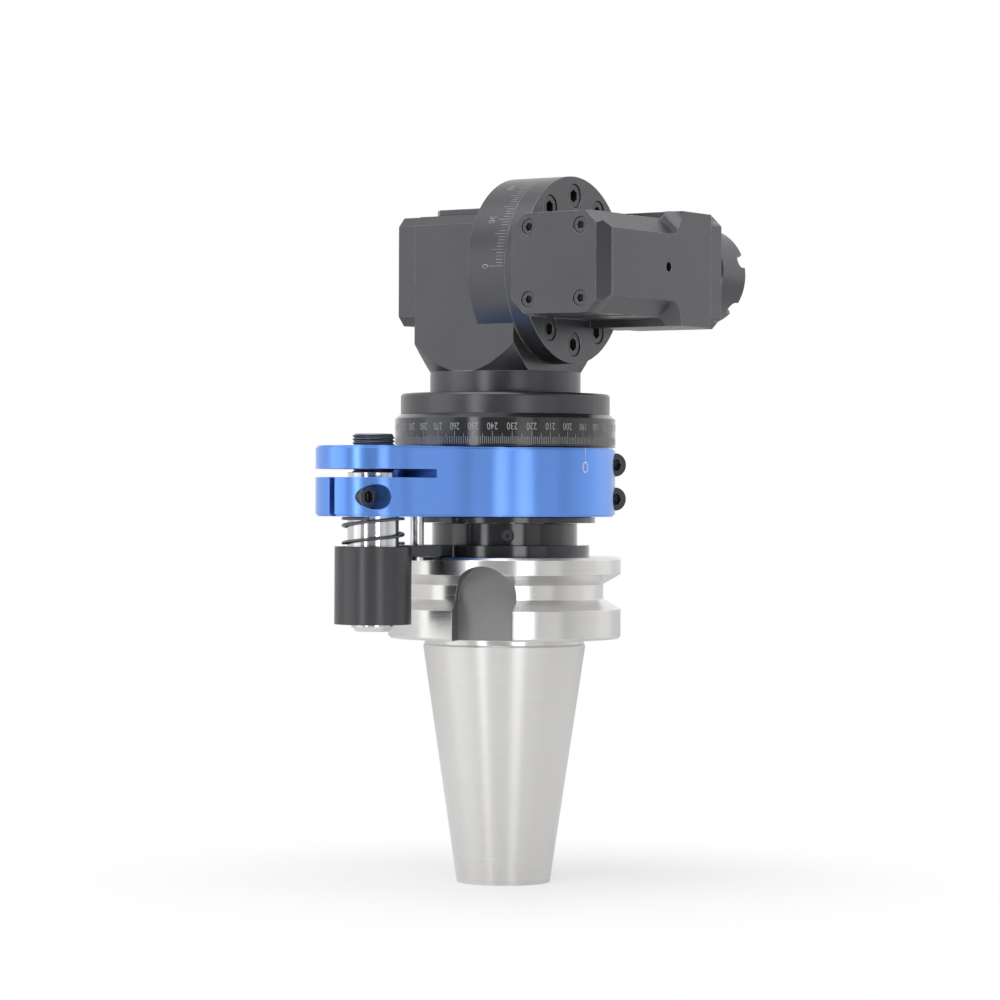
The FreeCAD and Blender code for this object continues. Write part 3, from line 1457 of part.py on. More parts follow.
def collet_nut():
    """The slotted nut that closes the collet."""
    thread = d.spindle_nose_radius + d.fit_clearance
    seat = d.collet_radius + d.face_clearance
    throat = d.collet_front - d.collet_head_length * HALF
    edge = d.nut_chamfer
    mouth = d.collet_radius - d.collet_head_length * HALF * tangent(COLLET_FACE_ANGLE) + d.fit_clearance
    blank = turned([
        (thread, d.nut_start),
        (d.nut_radius - edge * HALF, d.nut_start),
        (d.nut_radius, d.nut_start + edge * HALF),
        (d.nut_radius, d.nut_end - edge),
        (d.nut_radius - edge, d.nut_end),
        (mouth, d.nut_end),
        (mouth, d.collet_front + d.fit_clearance),
        (seat, throat),
        (seat, collet_shoulder),
        (thread, collet_shoulder),
    ])
    half = d.nut_slot_width * HALF
    start = d.nut_end - d.nut_slot_length + half
    floor = d.nut_radius - d.nut_slot_depth
    mouth_box = block([floor, -half, start], [d.nut_radius + 1, half, d.nut_end + 1])
    round_end = rod(half, floor, d.nut_radius + 1, z=start, turn=TO_RIGHT)
    slot = fused(mouth_box, round_end)
    count = int(d.nut_slot_count.number)
    angles = [d.nut_slot_angle + 360 / count * index for index in range(count)]
    node("collet_nut", group([cut(blank, *[group([slot], spin=angle) for angle in angles])],
                             d.spindle_offset, 0, d.tilt_height, TO_FRONT))


BUILDERS = [taper_shank, lock_collar, shank_spacer, drive_shaft, drive_gear, cross_shaft,
            head_bearings, head_housing, scale_ring, hub_end_cap, side_cover, top_cover,
            torque_ring, clamp_screws, stop_pin, guide_rod, stop_spring, lock_sleeve, lock_arm,
            spindle_housing, tilt_clamps, rear_cover, front_cover, housing_bearings,
            output_spindle, collet, collet_nut]


def main():
    """Builds every sub-part, checks it and writes one file for each."""
    for build in BUILDERS:
        build()
    doc.recompute()
    for item in doc.Objects:
        if any(word in item.State for word in ("Invalid", "Error")):
            raise RuntimeError(f"{item.Name} ({item.Label}) failed: {item.State}")
    os.makedirs("parts", exist_ok=True)
    for item in NODES:
        shape = item.Shape
        if shape.isNull() or not shape.isValid() or not shape.Solids:
            raise RuntimeError(f"{item.Label} has no sound shape")
        shape.exportStep(f"parts/{item.Label}.step")
        print(item.Label, len(shape.Solids), round(shape.Volume, 3))


main()
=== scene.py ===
"""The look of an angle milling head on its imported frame: finishes, scale markings, thread and spring.

Every length is in metres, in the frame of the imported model: +Z runs up the main axis from the taper to
the head, +X along the tilt axis and +Y along the tool spindle, away from its rear cover.
"""
import json
import math
import bmesh
import bpy
from bpy.props import FloatProperty, FloatVectorProperty, IntProperty, PointerProperty
from mathutils import Matrix, Vector


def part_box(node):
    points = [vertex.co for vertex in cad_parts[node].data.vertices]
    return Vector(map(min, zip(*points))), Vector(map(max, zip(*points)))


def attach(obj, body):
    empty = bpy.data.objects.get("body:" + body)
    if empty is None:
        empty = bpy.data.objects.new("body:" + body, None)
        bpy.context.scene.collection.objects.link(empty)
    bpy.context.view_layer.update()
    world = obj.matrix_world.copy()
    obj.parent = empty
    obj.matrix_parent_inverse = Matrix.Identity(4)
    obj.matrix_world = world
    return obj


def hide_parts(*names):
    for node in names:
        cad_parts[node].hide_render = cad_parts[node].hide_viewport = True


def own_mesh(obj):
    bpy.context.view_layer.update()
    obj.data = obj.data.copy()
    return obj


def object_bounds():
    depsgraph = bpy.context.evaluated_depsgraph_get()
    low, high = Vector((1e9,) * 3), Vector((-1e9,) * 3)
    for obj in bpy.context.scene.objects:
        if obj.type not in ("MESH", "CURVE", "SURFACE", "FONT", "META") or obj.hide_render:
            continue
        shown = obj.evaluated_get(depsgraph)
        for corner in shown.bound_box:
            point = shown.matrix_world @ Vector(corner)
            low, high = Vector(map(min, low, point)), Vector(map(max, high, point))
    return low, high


bl_info = {
    "name": "Angle milling head",
    "version": (1, 0, 0),
    "blender": (4, 5, 0),
    "location": "3D View > Sidebar > Angle Head",
    "description": "Dresses the packed angle milling head with finishes, scales, a thread and a spring",
    "category": "Object",
}

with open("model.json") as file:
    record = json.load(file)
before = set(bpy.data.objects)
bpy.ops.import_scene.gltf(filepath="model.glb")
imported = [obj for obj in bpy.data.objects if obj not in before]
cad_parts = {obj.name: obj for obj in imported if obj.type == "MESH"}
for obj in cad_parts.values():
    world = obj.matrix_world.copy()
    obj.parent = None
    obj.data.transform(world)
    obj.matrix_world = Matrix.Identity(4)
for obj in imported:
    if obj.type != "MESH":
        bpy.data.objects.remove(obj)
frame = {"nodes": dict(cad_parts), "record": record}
CAD_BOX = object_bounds()
NODES = frame["nodes"]
SLOT_OF = {part["node"]: part["material_slot"] for part in frame["record"]["subparts"]}
MM = 0.001
SENSOR_WIDTH = 36
PICTURE_WIDTH = 1000

# Places that the markings and the stud's thread are worked out from
RING_LOW, RING_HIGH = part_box("torque_ring")
SCALE_LOW, SCALE_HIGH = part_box("scale_ring")
HEAD_LOW, HEAD_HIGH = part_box("head_housing")
STUD_LOW, STUD_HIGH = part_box("stop_pin_stud")
TILT_AXIS_HEIGHT = sum(corner.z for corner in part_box("cross_shaft")) / 2
SCALE_RADIUS = SCALE_HIGH.x
DISC_RADIUS = HEAD_HIGH.z - TILT_AXIS_HEIGHT


def length(name, default_mm, why):
    """A length setting whose default is given in millimetres."""
    return FloatProperty(name=name, description=why, default=default_mm * MM, unit="LENGTH", precision=5)


def angle(name, degrees, why):
    """An angle setting whose default is given in degrees."""
    return FloatProperty(name=name, description=why, default=math.radians(degrees), unit="ROTATION")


def share(name, default, why):
    """A setting between none and all."""
    return FloatProperty(name=name, description=why, default=default, min=0, max=1, subtype="FACTOR")


def colour(name, red, green, blue, why):
    """A colour setting in linear values."""
    return FloatVectorProperty(name=name, description=why, default=(red, green, blue), size=3, min=0,
                               max=1, subtype="COLOR")


def lamp_power(name, default, why):
    """A lamp's power in watts."""
    return FloatProperty(name=name, description=why, default=default, min=0, max=500)


class FinishSettings(bpy.types.PropertyGroup):
    """Colours and surface values of the finishes."""
    ground_steel: colour("Ground steel", 0.73, 0.722, 0.712, "Bare ground steel of the taper and flange")
    keyway_grey: colour("Keyway grey", 0.33, 0.33, 0.334, "Unground floor of the drive keyways")
    head_grey: colour("Head grey", 0.094, 0.095, 0.101, "Conversion coat on the head and its covers")
    # Painted highlight and wear: the light grey that the coat's edges are lightened to, partly rubbed coat
    # and partly a painted highlight where edges catch the light.
    edge_grey: colour("Worn edge", 0.5, 0.505, 0.515, "Coat rubbed thin along the edges")
    ring_blue: colour("Ring blue", 0.15, 0.35, 0.92, "Anodised aluminium of the torque ring")
    oxide_black: colour("Oxide black", 0.045, 0.0455, 0.048, "Black oxide on collars, scale and screws")
    sleeve_grey: colour("Sleeve grey", 0.08, 0.081, 0.085, "Satin oxide on the sleeve and its arm")
    polished_steel: colour("Polished steel", 0.72, 0.72, 0.72, "Hard chrome of the stop pin and rod")
    gear_steel: colour("Gear steel", 0.42, 0.42, 0.43, "Ground flanks of the bevel gears")
    seal_black: colour("Seal rubber", 0.018, 0.018, 0.019, "Rubber of the shaft seals")
    marking: colour("Scale marking", 0.4, 0.405, 0.41, "Engraved and filled scale marks")
    index_mark: colour("Index mark", 0.96, 0.97, 0.98, "Bright index line on the torque ring")
    edge_round: length("Edge rounding", 0.4, "Radius at which sharp edges catch the light")


class ScaleSettings(bpy.types.PropertyGroup):
    """The graduations of the swivel and tilt scales."""
    tick_width: length("Tick width", 0.2, "Width of an engraved line")
    relief: length("Relief", 0.016, "Height of the filled marks over the surface")
    one_degree: length("One degree tick", 3.0, "Length of the one degree ticks")
    five_degrees: length("Five degree tick", 4.2, "Length of the five degree ticks")
    ten_degrees: length("Ten degree tick", 5.2, "Length of the ten degree ticks")
    tick_margin: length("Tick margin", 0.9, "Distance from the ring's lower edge to the ticks")
    number_height: length("Number height", 3.0, "Height of the swivel scale's numbers")
    number_gap: length("Number gap", 0.6, "Gap between the longest tick and the numbers")
    reading: angle("Reading", 188, "Swivel angle that stands at the torque ring's index")
    index_place: angle("Index place", 79.5, "Where the index stands, from the front toward the housing")
    index_line: length("Index line", 5.9, "Length of the index line")
    index_zero: length("Index zero", 4.8, "Height of the zero under the index line")
    index_zero_width: length("Index zero width", 3.4, "Width of the zero under the index line")
    index_stroke: length("Index stroke", 0.5, "Width of the zero's line")
    tilt_tick_end: length("Tilt tick end", 25.2, "Place of the tilt ticks' common end on the tilt axis")
    tilt_tick: length("Tilt tick", 3.5, "Length of the two degree ticks")
    tilt_ten_tick: length("Tilt ten degree tick", 5.6, "Length of the ten degree ticks")
    tilt_zero_tick: length("Tilt zero tick", 7.0, "Length of the zero tick")
    tilt_number_height: length("Tilt number height", 2.9, "Height of the tilt scale's numbers")
    tilt_number_place: length("Tilt number place", 16.3, "Place of the numbers' middle on the tilt axis")


class SmallPartSettings(bpy.types.PropertyGroup):
    """The stud's thread and the stop spring."""
    thread_pitch: length("Thread pitch", 1.5, "Pitch of the stud's thread")
    thread_depth: length("Thread depth", 0.85, "Depth of the thread from crest to root")
    thread_steps: IntProperty(name="Thread steps", description="Faces in one turn of the thread",
                              default=48, min=12, max=96)
    spring_turns: FloatProperty(name="Spring turns", description="Free turns between the end coils",
                                default=1.4, min=0.5, max=6)
    socket_width: length("Stud socket", 8.0, "Width across the flats of the stud's hexagon socket")


class StageSettings(bpy.types.PropertyGroup):
    """The camera, the floor and the lamps."""
    azimuth: angle("Camera azimuth", 34, "Direction of the camera round the main axis")
    distance: length("Camera distance", 1550, "Distance from the camera to the main axis")
    eye_height: length("Camera height", 62.3, "Height of the level camera over the gauge plane")
    lens: FloatProperty(name="Lens", description="Focal length in millimetres on a 36 mm sensor",
                        default=129.5, min=20, max=400)
    roll: angle("Camera roll", 0.25, "Lean of the camera about its own line of sight")
    axis_pixel: FloatProperty(name="Axis pixel", description="Column of the main axis in the picture",
                              default=504.9, min=0, max=1000)
    floor_white: colour("Floor white", 0.93, 0.93, 0.93, "Pale floor under the tool")
    floor_radius: length("Floor radius", 6000, "Radius of the floor")
    shadow: share("Floor shadow", 0.5, "How much of the shadow at the foot shows in the picture")
    shadow_radius: length("Shadow radius", 45, "Distance from the axis at which the shadow fades")
    near_side: share("Near side", 0.06, "How bright the room is behind the camera")
    room_light: FloatProperty(name="Room light", description="Strength of the room's own light",
                              default=0.6, min=0, max=4)
    key_power: lamp_power("Key lamp", 14.0, "Power of the broad lamp overhead in watts")
    table_power: lamp_power("Table lamp", 1.0, "Power of the low lamp in front in watts")
    strip_power: lamp_power("Strip lamp", 1.5, "Power of the narrow lamp at the left")
    left_power: lamp_power("Left lamp", 1.8, "Power of the broad lamp at the left in watts")
    right_power: lamp_power("Right lamp", 0.5, "Power of the broad lamp at the right front in watts")
    fill_power: lamp_power("Fill lamp", 0.4, "Power of the lamp at the right in watts")


def settings():
    """The finish settings of this scene."""
    return bpy.context.scene.angle_head_finish


# Cosines between the plain and the rounded normal, off an edge and right on it
EDGE_COSINES = (0.995, 0.86)
# Shares of open sky at which a place starts to count as a hollow, and fully counts as one, for the painted
# shade in holes and gaps
HOLLOW_OPENNESS = (0.62, 0.25)
HOLLOW_REACH = 1.6 * MM
EDGE_SAMPLES = 6
# How steeply the highlights of turned surfaces are drawn out upwards
DRAWN_STEEPNESS = 2.3
# Grain per metre of turned surfaces round the axis, and how much broader the broad rings are
RING_GRAIN = 6
BROAD_GRAIN = 20
BROAD_SHARE = 0.06


class Finish:
    """A material with its shader and the nodes that feed it."""

    def __init__(self, name, base, metallic, roughness, specular=0.5):
        self.material = bpy.data.materials.new(name)
        self.material.use_nodes = True
        self.tree = self.material.node_tree
        self.shader = self.tree.nodes["Principled BSDF"]
        self.place = self.add("ShaderNodeTexCoord").outputs["Object"]
        self.base = tuple(base)
        self.shader.inputs["Base Color"].default_value = (*self.base, 1)
        self.shader.inputs["Metallic"].default_value = metallic
        self.shader.inputs["Roughness"].default_value = roughness
        self.shader.inputs["Specular IOR Level"].default_value = specular
        self.material.diffuse_color = (*self.base, 1)

    def add(self, kind, **values):
        """A node of one kind, with the values that the words name."""
        node = self.tree.nodes.new(kind)
        for name, value in values.items():
            setattr(node, name, value)
        return node

    def feed(self, value, socket):
        """Links an output to a socket, or sets a plain number on it."""
        if isinstance(value, bpy.types.NodeSocket):
            self.tree.links.new(value, socket)
        else:
            socket.default_value = value

    def maths(self, operation, first, second=0.0, third=0.0):
        """One step of arithmetic on numbers or outputs."""
        node = self.add("ShaderNodeMath", operation=operation)
        for value, socket in zip((first, second, third), node.inputs):
            self.feed(value, socket)
        return node.outputs[0]

    def stretched(self, across, along, turn=(0, 0, 0)):
        """The place with its own scale across and along the piece's Z."""
        node = self.add("ShaderNodeMapping")
        self.feed(self.place, node.inputs["Vector"])
        node.inputs["Rotation"].default_value = turn
        node.inputs["Scale"].default_value = (across, across, along)
        return node.outputs[0]

    def grain(self, scale, detail=3.0, vector=None):
        """Noise between none and one."""
        node = self.add("ShaderNodeTexNoise")
        self.feed(vector or self.place, node.inputs["Vector"])
        node.inputs["Scale"].default_value = scale
        node.inputs["Detail"].default_value = detail
        return node.outputs["Fac"]

    def spread(self, value, low, high, to_low, to_high):
        """A value moved from one span to another and kept inside it."""
        node = self.add("ShaderNodeMapRange")
        for number, socket in zip((value, low, high, to_low, to_high), node.inputs):
            self.feed(number, socket)
        return node.outputs[0]

    def blend(self, amount, first, second):
        """Two colours mixed by an amount."""
        node = self.add("ShaderNodeMix", data_type="RGBA")
        self.feed(amount, node.inputs[0])
        for value, socket in zip((first, second), node.inputs[6:8]):
            self.feed(value if isinstance(value, bpy.types.NodeSocket) else (*value, 1), socket)
        return node.outputs[2]

    def relief(self, height, depth, strength=1.0, below=None):
        """Bumps of a real depth from a height, on top of an earlier normal."""
        node = self.add("ShaderNodeBump")
        node.inputs["Strength"].default_value = strength
        node.inputs["Distance"].default_value = depth
        self.feed(height, node.inputs["Height"])
        if below:
            self.feed(below, node.inputs["Normal"])
        return node.outputs[0]

    def rounded(self, radius):
        """A normal that rounds sharp edges, and how near an edge a place is."""
        node = self.add("ShaderNodeBevel", samples=EDGE_SAMPLES)
        node.inputs["Radius"].default_value = radius
        plain = self.add("ShaderNodeNewGeometry").outputs["True Normal"]
        product = self.add("ShaderNodeVectorMath", operation="DOT_PRODUCT")
        self.feed(node.outputs[0], product.inputs[0])
        self.feed(plain, product.inputs[1])
        nearness = self.spread(product.outputs["Value"], *EDGE_COSINES, 0.0, 1.0)
        return node.outputs[0], nearness

    def hollows(self, reach):
        """How deep in a hole or a gap a place lies, from none to one: the mask of the painted shade there.
        """
        node = self.add("ShaderNodeAmbientOcclusion", samples=EDGE_SAMPLES)
        node.inputs["Distance"].default_value = reach
        return self.spread(node.outputs["AO"], *HOLLOW_OPENNESS, 0.0, 1.0)

    def coloured(self, colour):
        """Feeds the base colour."""
        self.feed(colour, self.shader.inputs["Base Color"])

    def roughened(self, value):
        """Feeds the roughness."""
        self.feed(value, self.shader.inputs["Roughness"])

    def drawn_out(self, amount):
        """Draws highlights out along the turned surface's outline, across the marks of turning."""
        flat = self.add("ShaderNodeVectorMath", operation="MULTIPLY")
        self.feed(self.place, flat.inputs[0])
        flat.inputs[1].default_value = (1, 1, 0)
        outward = self.add("ShaderNodeVectorMath", operation="NORMALIZE")
        self.feed(flat.outputs[0], outward.inputs[0])
        lifted = self.add("ShaderNodeVectorMath", operation="ADD")
        self.feed(outward.outputs[0], lifted.inputs[0])
        lifted.inputs[1].default_value = (0, 0, DRAWN_STEEPNESS)
        course = self.add("ShaderNodeVectorTransform", vector_type="VECTOR", convert_from="OBJECT",
                          convert_to="WORLD")
        self.feed(lifted.outputs[0], course.inputs[0])
        self.feed(course.outputs[0], self.shader.inputs["Tangent"])
        self.shader.inputs["Anisotropic"].default_value = amount

    def facing(self, normal):
        """Feeds the normal."""
        self.feed(normal, self.shader.inputs["Normal"])


def shaded(base, factor):
    """A colour made lighter or darker."""
    return tuple(min(1.0, value * factor) for value in base)


def turned_marks(finish, fine, depth, roughness):
    """The rings that a lathe or grinder leaves round the main axis, in colour, gloss and relief."""
    rings = finish.grain(1.0, 4.0, finish.stretched(RING_GRAIN, fine))
    broad = finish.grain(1.0, 2.0, finish.stretched(BROAD_GRAIN, fine * BROAD_SHARE))
    marks = finish.maths("MULTIPLY_ADD", rings, 0.7, finish.maths("MULTIPLY", broad, 0.3))
    finish.coloured(finish.blend(finish.spread(marks, 0.35, 0.65, 0.0, 1.0),
                                 shaded(finish.base, 0.98), shaded(finish.base, 1.02)))
    finish.roughened(finish.spread(marks, 0.3, 0.7, roughness * 0.94, roughness * 1.07))
    finish.drawn_out(0.75)
    finish.facing(finish.relief(marks, depth, below=finish.rounded(settings().edge_round)[0]))
    return marks


# The section of the drive keyways: their half width, the distance of their floor from the axis, the
# height at which their round end begins, the height of their open end, and their turn
KEYWAY_HALF_WIDTH = 12.95 * MM
KEYWAY_FLOOR = 35.2 * MM
KEYWAY_ARCH = 21.65 * MM
KEYWAY_OPEN_END = 2.4 * MM
KEYWAY_TURN = math.radians(-22.9)


def keyway_mask(finish):
    """One inside the two drive keyways, none elsewhere: the part of the slot's own section."""
    turn = finish.add("ShaderNodeVectorRotate", rotation_type="Z_AXIS")
    finish.feed(finish.place, turn.inputs["Vector"])
    turn.inputs["Angle"].default_value = KEYWAY_TURN
    parts = finish.add("ShaderNodeSeparateXYZ")
    finish.feed(turn.outputs[0], parts.inputs[0])
    across, out, up = parts.outputs
    reach = finish.maths("GREATER_THAN", finish.maths("ABSOLUTE", out), KEYWAY_FLOOR)
    over = finish.maths("MAXIMUM", finish.maths("SUBTRACT", up, KEYWAY_ARCH), 0.0)
    round_top = finish.maths("SQRT", finish.maths("MULTIPLY_ADD", across, across,
                                                  finish.maths("MULTIPLY", over, over)))
    inside = finish.maths("LESS_THAN", round_top, KEYWAY_HALF_WIDTH)
    above = finish.maths("GREATER_THAN", up, KEYWAY_OPEN_END)
    return finish.maths("MULTIPLY", finish.maths("MULTIPLY", reach, inside), above)


def ground_steel():
    """Bare ground steel: bright rings round the axis, and plain milled keyways."""
    values = settings()
    finish = Finish("ground_steel", values.ground_steel, metallic=1.0, roughness=0.27)
    marks = turned_marks(finish, fine=2600, depth=0.00015 * MM, roughness=0.27)
    mask = keyway_mask(finish)
    speckle = finish.grain(1800, 2.0)
    bright = finish.shader.inputs["Base Color"].links[0].from_socket
    dull = finish.blend(speckle, shaded(values.keyway_grey, 0.92), shaded(values.keyway_grey, 1.06))
    finish.coloured(finish.blend(mask, bright, dull))
    finish.roughened(finish.spread(mask, 0.0, 1.0, finish.spread(marks, 0.3, 0.7, 0.264, 0.276), 0.55))
    return finish.material


def coated_steel():
    """The dark grey coat of the head: fine blasted grain, faint clouds, edges lighter from wear and a
    painted highlight, and painted shade in its holes and gaps.
    """
    values = settings()
    finish = Finish("coated_steel", values.head_grey, metallic=0.8, roughness=0.31)
    normal, nearness = finish.rounded(values.edge_round)
    clouds = finish.grain(38, 4.0)
    grain = finish.grain(2400, 2.0)
    body = finish.blend(finish.spread(clouds, 0.3, 0.7, 0.0, 1.0), shaded(finish.base, 0.93),
                        shaded(finish.base, 1.07))
    wear = finish.spread(finish.grain(260, 3.0), 0.35, 0.65, 0.25, 0.8)
    # Edges lightened toward the edge colour: partly real wear of the coat, partly a painted highlight where
    # edges catch the light.
    edge_highlight_and_wear = finish.maths("MULTIPLY", nearness, wear)
    # Painted shade: holes, sockets and gaps of the coat darkened almost to black.
    body = finish.blend(finish.hollows(HOLLOW_REACH), body, shaded(finish.base, 0.12))
    finish.coloured(finish.blend(edge_highlight_and_wear, body, tuple(values.edge_grey)))
    finish.roughened(finish.spread(clouds, 0.3, 0.7, 0.28, 0.34))
    finish.facing(finish.relief(grain, 0.004 * MM, 0.5, normal))
    return finish.material


def gloss_black():
    """Polished black oxide with the rings of its turning."""
    values = settings()
    finish = Finish("gloss_black", values.oxide_black, metallic=0.6, roughness=0.2,
                    specular=0.6)
    turned_marks(finish, fine=1700, depth=0.001 * MM, roughness=0.21)
    finish.shader.inputs["Coat Weight"].default_value = 0.35
    finish.shader.inputs["Coat Roughness"].default_value = 0.12
    return finish.material


# Painted highlight: the light grey that the screws' edges and rims are lightened to.
SCREW_RIM_HIGHLIGHT = (0.42, 0.42, 0.425)


def screw_black():
    """Oiled black oxide on the screws, with painted shade in the sockets and gaps and a painted highlight
    on the rims.
    """
    values = settings()
    finish = Finish("screw_black", shaded(values.oxide_black, 1.6), metallic=0.75, roughness=0.3,
                    specular=0.55)
    normal, nearness = finish.rounded(values.edge_round * 0.8)
    patches = finish.grain(700, 3.0)
    body = finish.blend(patches, shaded(finish.base, 0.8), shaded(finish.base, 1.5))
    # Painted shade: sockets and the gaps round the heads darkened almost to black.
    body = finish.blend(finish.hollows(HOLLOW_REACH), body, shaded(finish.base, 0.1))
    # Painted highlight along the screws' edges, with no wear in it.
    edge_highlight_and_wear = finish.maths("MULTIPLY", nearness, 0.8)
    finish.coloured(finish.blend(edge_highlight_and_wear, body, SCREW_RIM_HIGHLIGHT))
    finish.roughened(finish.spread(patches, 0.3, 0.7, 0.26, 0.4))
    finish.facing(finish.relief(patches, 0.003 * MM, 0.5, normal))
    return finish.material


def anodised_blue():
    """Blue anodised aluminium: fine turned rings under a satin skin."""
    values = settings()
    finish = Finish("anodised_blue", values.ring_blue, metallic=0.85, roughness=0.33)
    turned_marks(finish, fine=2100, depth=0.002 * MM, roughness=0.33)
    finish.shader.inputs["Coat Weight"].default_value = 0.4
    finish.shader.inputs["Coat Roughness"].default_value = 0.25
    return finish.material


def sleeve_satin():
    """Satin black oxide on the sleeve and its arm."""
    finish = Finish("sleeve_satin", settings().sleeve_grey, metallic=0.7, roughness=0.36)
    turned_marks(finish, fine=1300, depth=0.002 * MM, roughness=0.36)
    return finish.material


def polished_steel():
    """Hard chrome and polished steel."""
    finish = Finish("polished_steel", settings().polished_steel, metallic=1.0, roughness=0.2)
    turned_marks(finish, fine=3000, depth=0.0003 * MM, roughness=0.2)
    return finish.material


def bearing_polish():
    """The races and balls of the bearings."""
    finish = Finish("bearing_polish", shaded(settings().polished_steel, 0.95), metallic=1.0, roughness=0.14)
    haze = finish.grain(900, 2.0)
    finish.coloured(finish.blend(haze, shaded(finish.base, 0.92), finish.base))
    finish.roughened(finish.spread(haze, 0.3, 0.7, 0.11, 0.19))
    return finish.material


def gear_flank():
    """Ground steel of the gears, dulled by oil."""
    finish = Finish("gear_flank", settings().gear_steel, metallic=1.0, roughness=0.3)
    film = finish.grain(420, 3.0)
    finish.coloured(finish.blend(film, shaded(finish.base, 0.8), shaded(finish.base, 1.15)))
    finish.roughened(finish.spread(film, 0.3, 0.7, 0.24, 0.4))
    finish.facing(finish.relief(film, 0.004 * MM, 0.5, finish.rounded(settings().edge_round)[0]))
    return finish.material


WIRE_GREY = (0.15, 0.15, 0.152)


def spring_wire():
    """Oil-hardened wire: dark, with a faint shine along it."""
    finish = Finish("spring_wire", WIRE_GREY, metallic=0.85, roughness=0.28)
    drawn = finish.grain(900, 2.0)
    finish.coloured(finish.blend(drawn, shaded(finish.base, 0.8), shaded(finish.base, 1.3)))
    finish.roughened(finish.spread(drawn, 0.3, 0.7, 0.24, 0.38))
    return finish.material


def seal_rubber():
    """Moulded seal rubber."""
    finish = Finish("seal_rubber", settings().seal_black, metallic=0.0, roughness=0.62,
                    specular=0.35)
    skin = finish.grain(1500, 3.0)
    finish.coloured(finish.blend(skin, shaded(finish.base, 0.85), shaded(finish.base, 1.3)))
    finish.facing(finish.relief(skin, 0.01 * MM, 0.4))
    return finish.material


def filled_mark(name, base):
    """Paint that fills an engraved mark, a little uneven."""
    finish = Finish(name, base, metallic=0.0, roughness=0.55, specular=0.3)
    wear = finish.grain(2600, 2.0)
    finish.coloured(finish.blend(finish.spread(wear, 0.3, 0.75, 0.0, 1.0), finish.base,
                                 shaded(finish.base, 0.68)))
    return finish.material


FINISHES = {
    "ground_steel": ground_steel,
    "black_oxide": gloss_black,
    "screw_black": screw_black,
    "head_grey": coated_steel,
    "anodised_blue": anodised_blue,
    "pin_steel": polished_steel,
    "gear_steel": gear_flank,
    "bearing_steel": bearing_polish,
    "sleeve_black": sleeve_satin,
    "spring_black": spring_wire,
    "seal_rubber": seal_rubber,
}
MADE = {}


def finish_for(slot):
    """The material of one record slot, made once."""
    if slot not in MADE:
        MADE[slot] = FINISHES[slot]()
    return MADE[slot]


def dress(nodes):
    """Gives CAD nodes the finish that their slots name."""
    for name in nodes:
        mesh = NODES[name].data
        mesh.materials.clear()
        mesh.materials.append(finish_for(SLOT_OF[name]))


LETTER_STEPS = 3
OVAL_STEPS = 40
CORE_STEPS = 48
QUARTER_TURN = 90
TEN_DEGREES = 10
FIVE_DEGREES = 5
TILT_TICK_STEP = 2
TILT_NUMBER_STEP = 30
SWIVEL_LETTER_WIDTH = 0.72
# Points that lie closer than this are one point
MERGE = 0.001 * MM
# The stop spring: its wire, the flat turns at its lower and upper end, and where the lower one starts
SPRING_WIRE_RADIUS = 0.65 * MM
SPRING_LOWER_END = 0.5
SPRING_UPPER_END = 0.83
SPRING_START = math.radians(34)
SPRING_STEPS = 40


def scale_values():
    """The scale settings of this scene."""
    return bpy.context.scene.angle_head_scale


def small_values():
    """The small part settings of this scene."""
    return bpy.context.scene.angle_head_small


def finished(bm, name, body, material, smooth=False):
    """Turns a bmesh into an object at the origin that rides on a body."""
    mesh = bpy.data.meshes.new(name)
    bm.to_mesh(mesh)
    bm.free()
    for polygon in mesh.polygons:
        polygon.use_smooth = smooth
    mesh.materials.append(material)
    piece = bpy.data.objects.new(name, mesh)
    bpy.context.scene.collection.objects.link(piece)
    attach(piece, body)
    return piece


def flat_plate(bm, width, height, middle=(0, 0)):
    """A rectangle in the XY plane, added to the bmesh. Returns its vertices."""
    made = bmesh.ops.create_grid(bm, x_segments=1, y_segments=1, size=0.5)["verts"]
    bmesh.ops.scale(bm, vec=(width, height, 1), verts=made)
    bmesh.ops.translate(bm, vec=(*middle, 0), verts=made)
    return made


def lettering(bm, words, height, middle=(0, 0), narrow=1.0):
    """Numbers in the XY plane, centred on a place, added to the bmesh. Returns their vertices."""
    curve = bpy.data.curves.new("lettering", "FONT")
    curve.body = words
    curve.resolution_u = LETTER_STEPS
    holder = bpy.data.objects.new("lettering", curve)
    bpy.context.scene.collection.objects.link(holder)
    bpy.context.view_layer.update()
    mesh = bpy.data.meshes.new_from_object(holder.evaluated_get(bpy.context.evaluated_depsgraph_get()))
    before = set(bm.verts)
    bm.from_mesh(mesh)
    made = [vert for vert in bm.verts if vert not in before]
    low, high = (Vector([choice(values) for values in zip(*(vert.co for vert in made))])
                 for choice in (min, max))
    size = height / (high.y - low.y)
    bmesh.ops.translate(bm, vec=-(low + high) / 2, verts=made)
    bmesh.ops.scale(bm, vec=(size * narrow, size, 1), verts=made)
    bmesh.ops.translate(bm, vec=(*middle, 0), verts=made)
    bpy.data.objects.remove(holder)
    bpy.data.curves.remove(curve)
    bpy.data.meshes.remove(mesh)
    return made


def ring_mark(bm, width, height, stroke, middle):
    """An oval line in the XY plane about a height, added to the bmesh. Returns its vertices."""
    made = []
    rims = []
    for inset in (0, stroke * 2):
        rim = bmesh.ops.create_circle(bm, segments=OVAL_STEPS, radius=0.5)["verts"]
        rims += boundary_of(rim)
        bmesh.ops.scale(bm, vec=(width - inset, height - inset, 1), verts=rim)
        bmesh.ops.translate(bm, vec=(0, middle, 0), verts=rim)
        made += rim
    bmesh.ops.bridge_loops(bm, edges=rims)
    return made


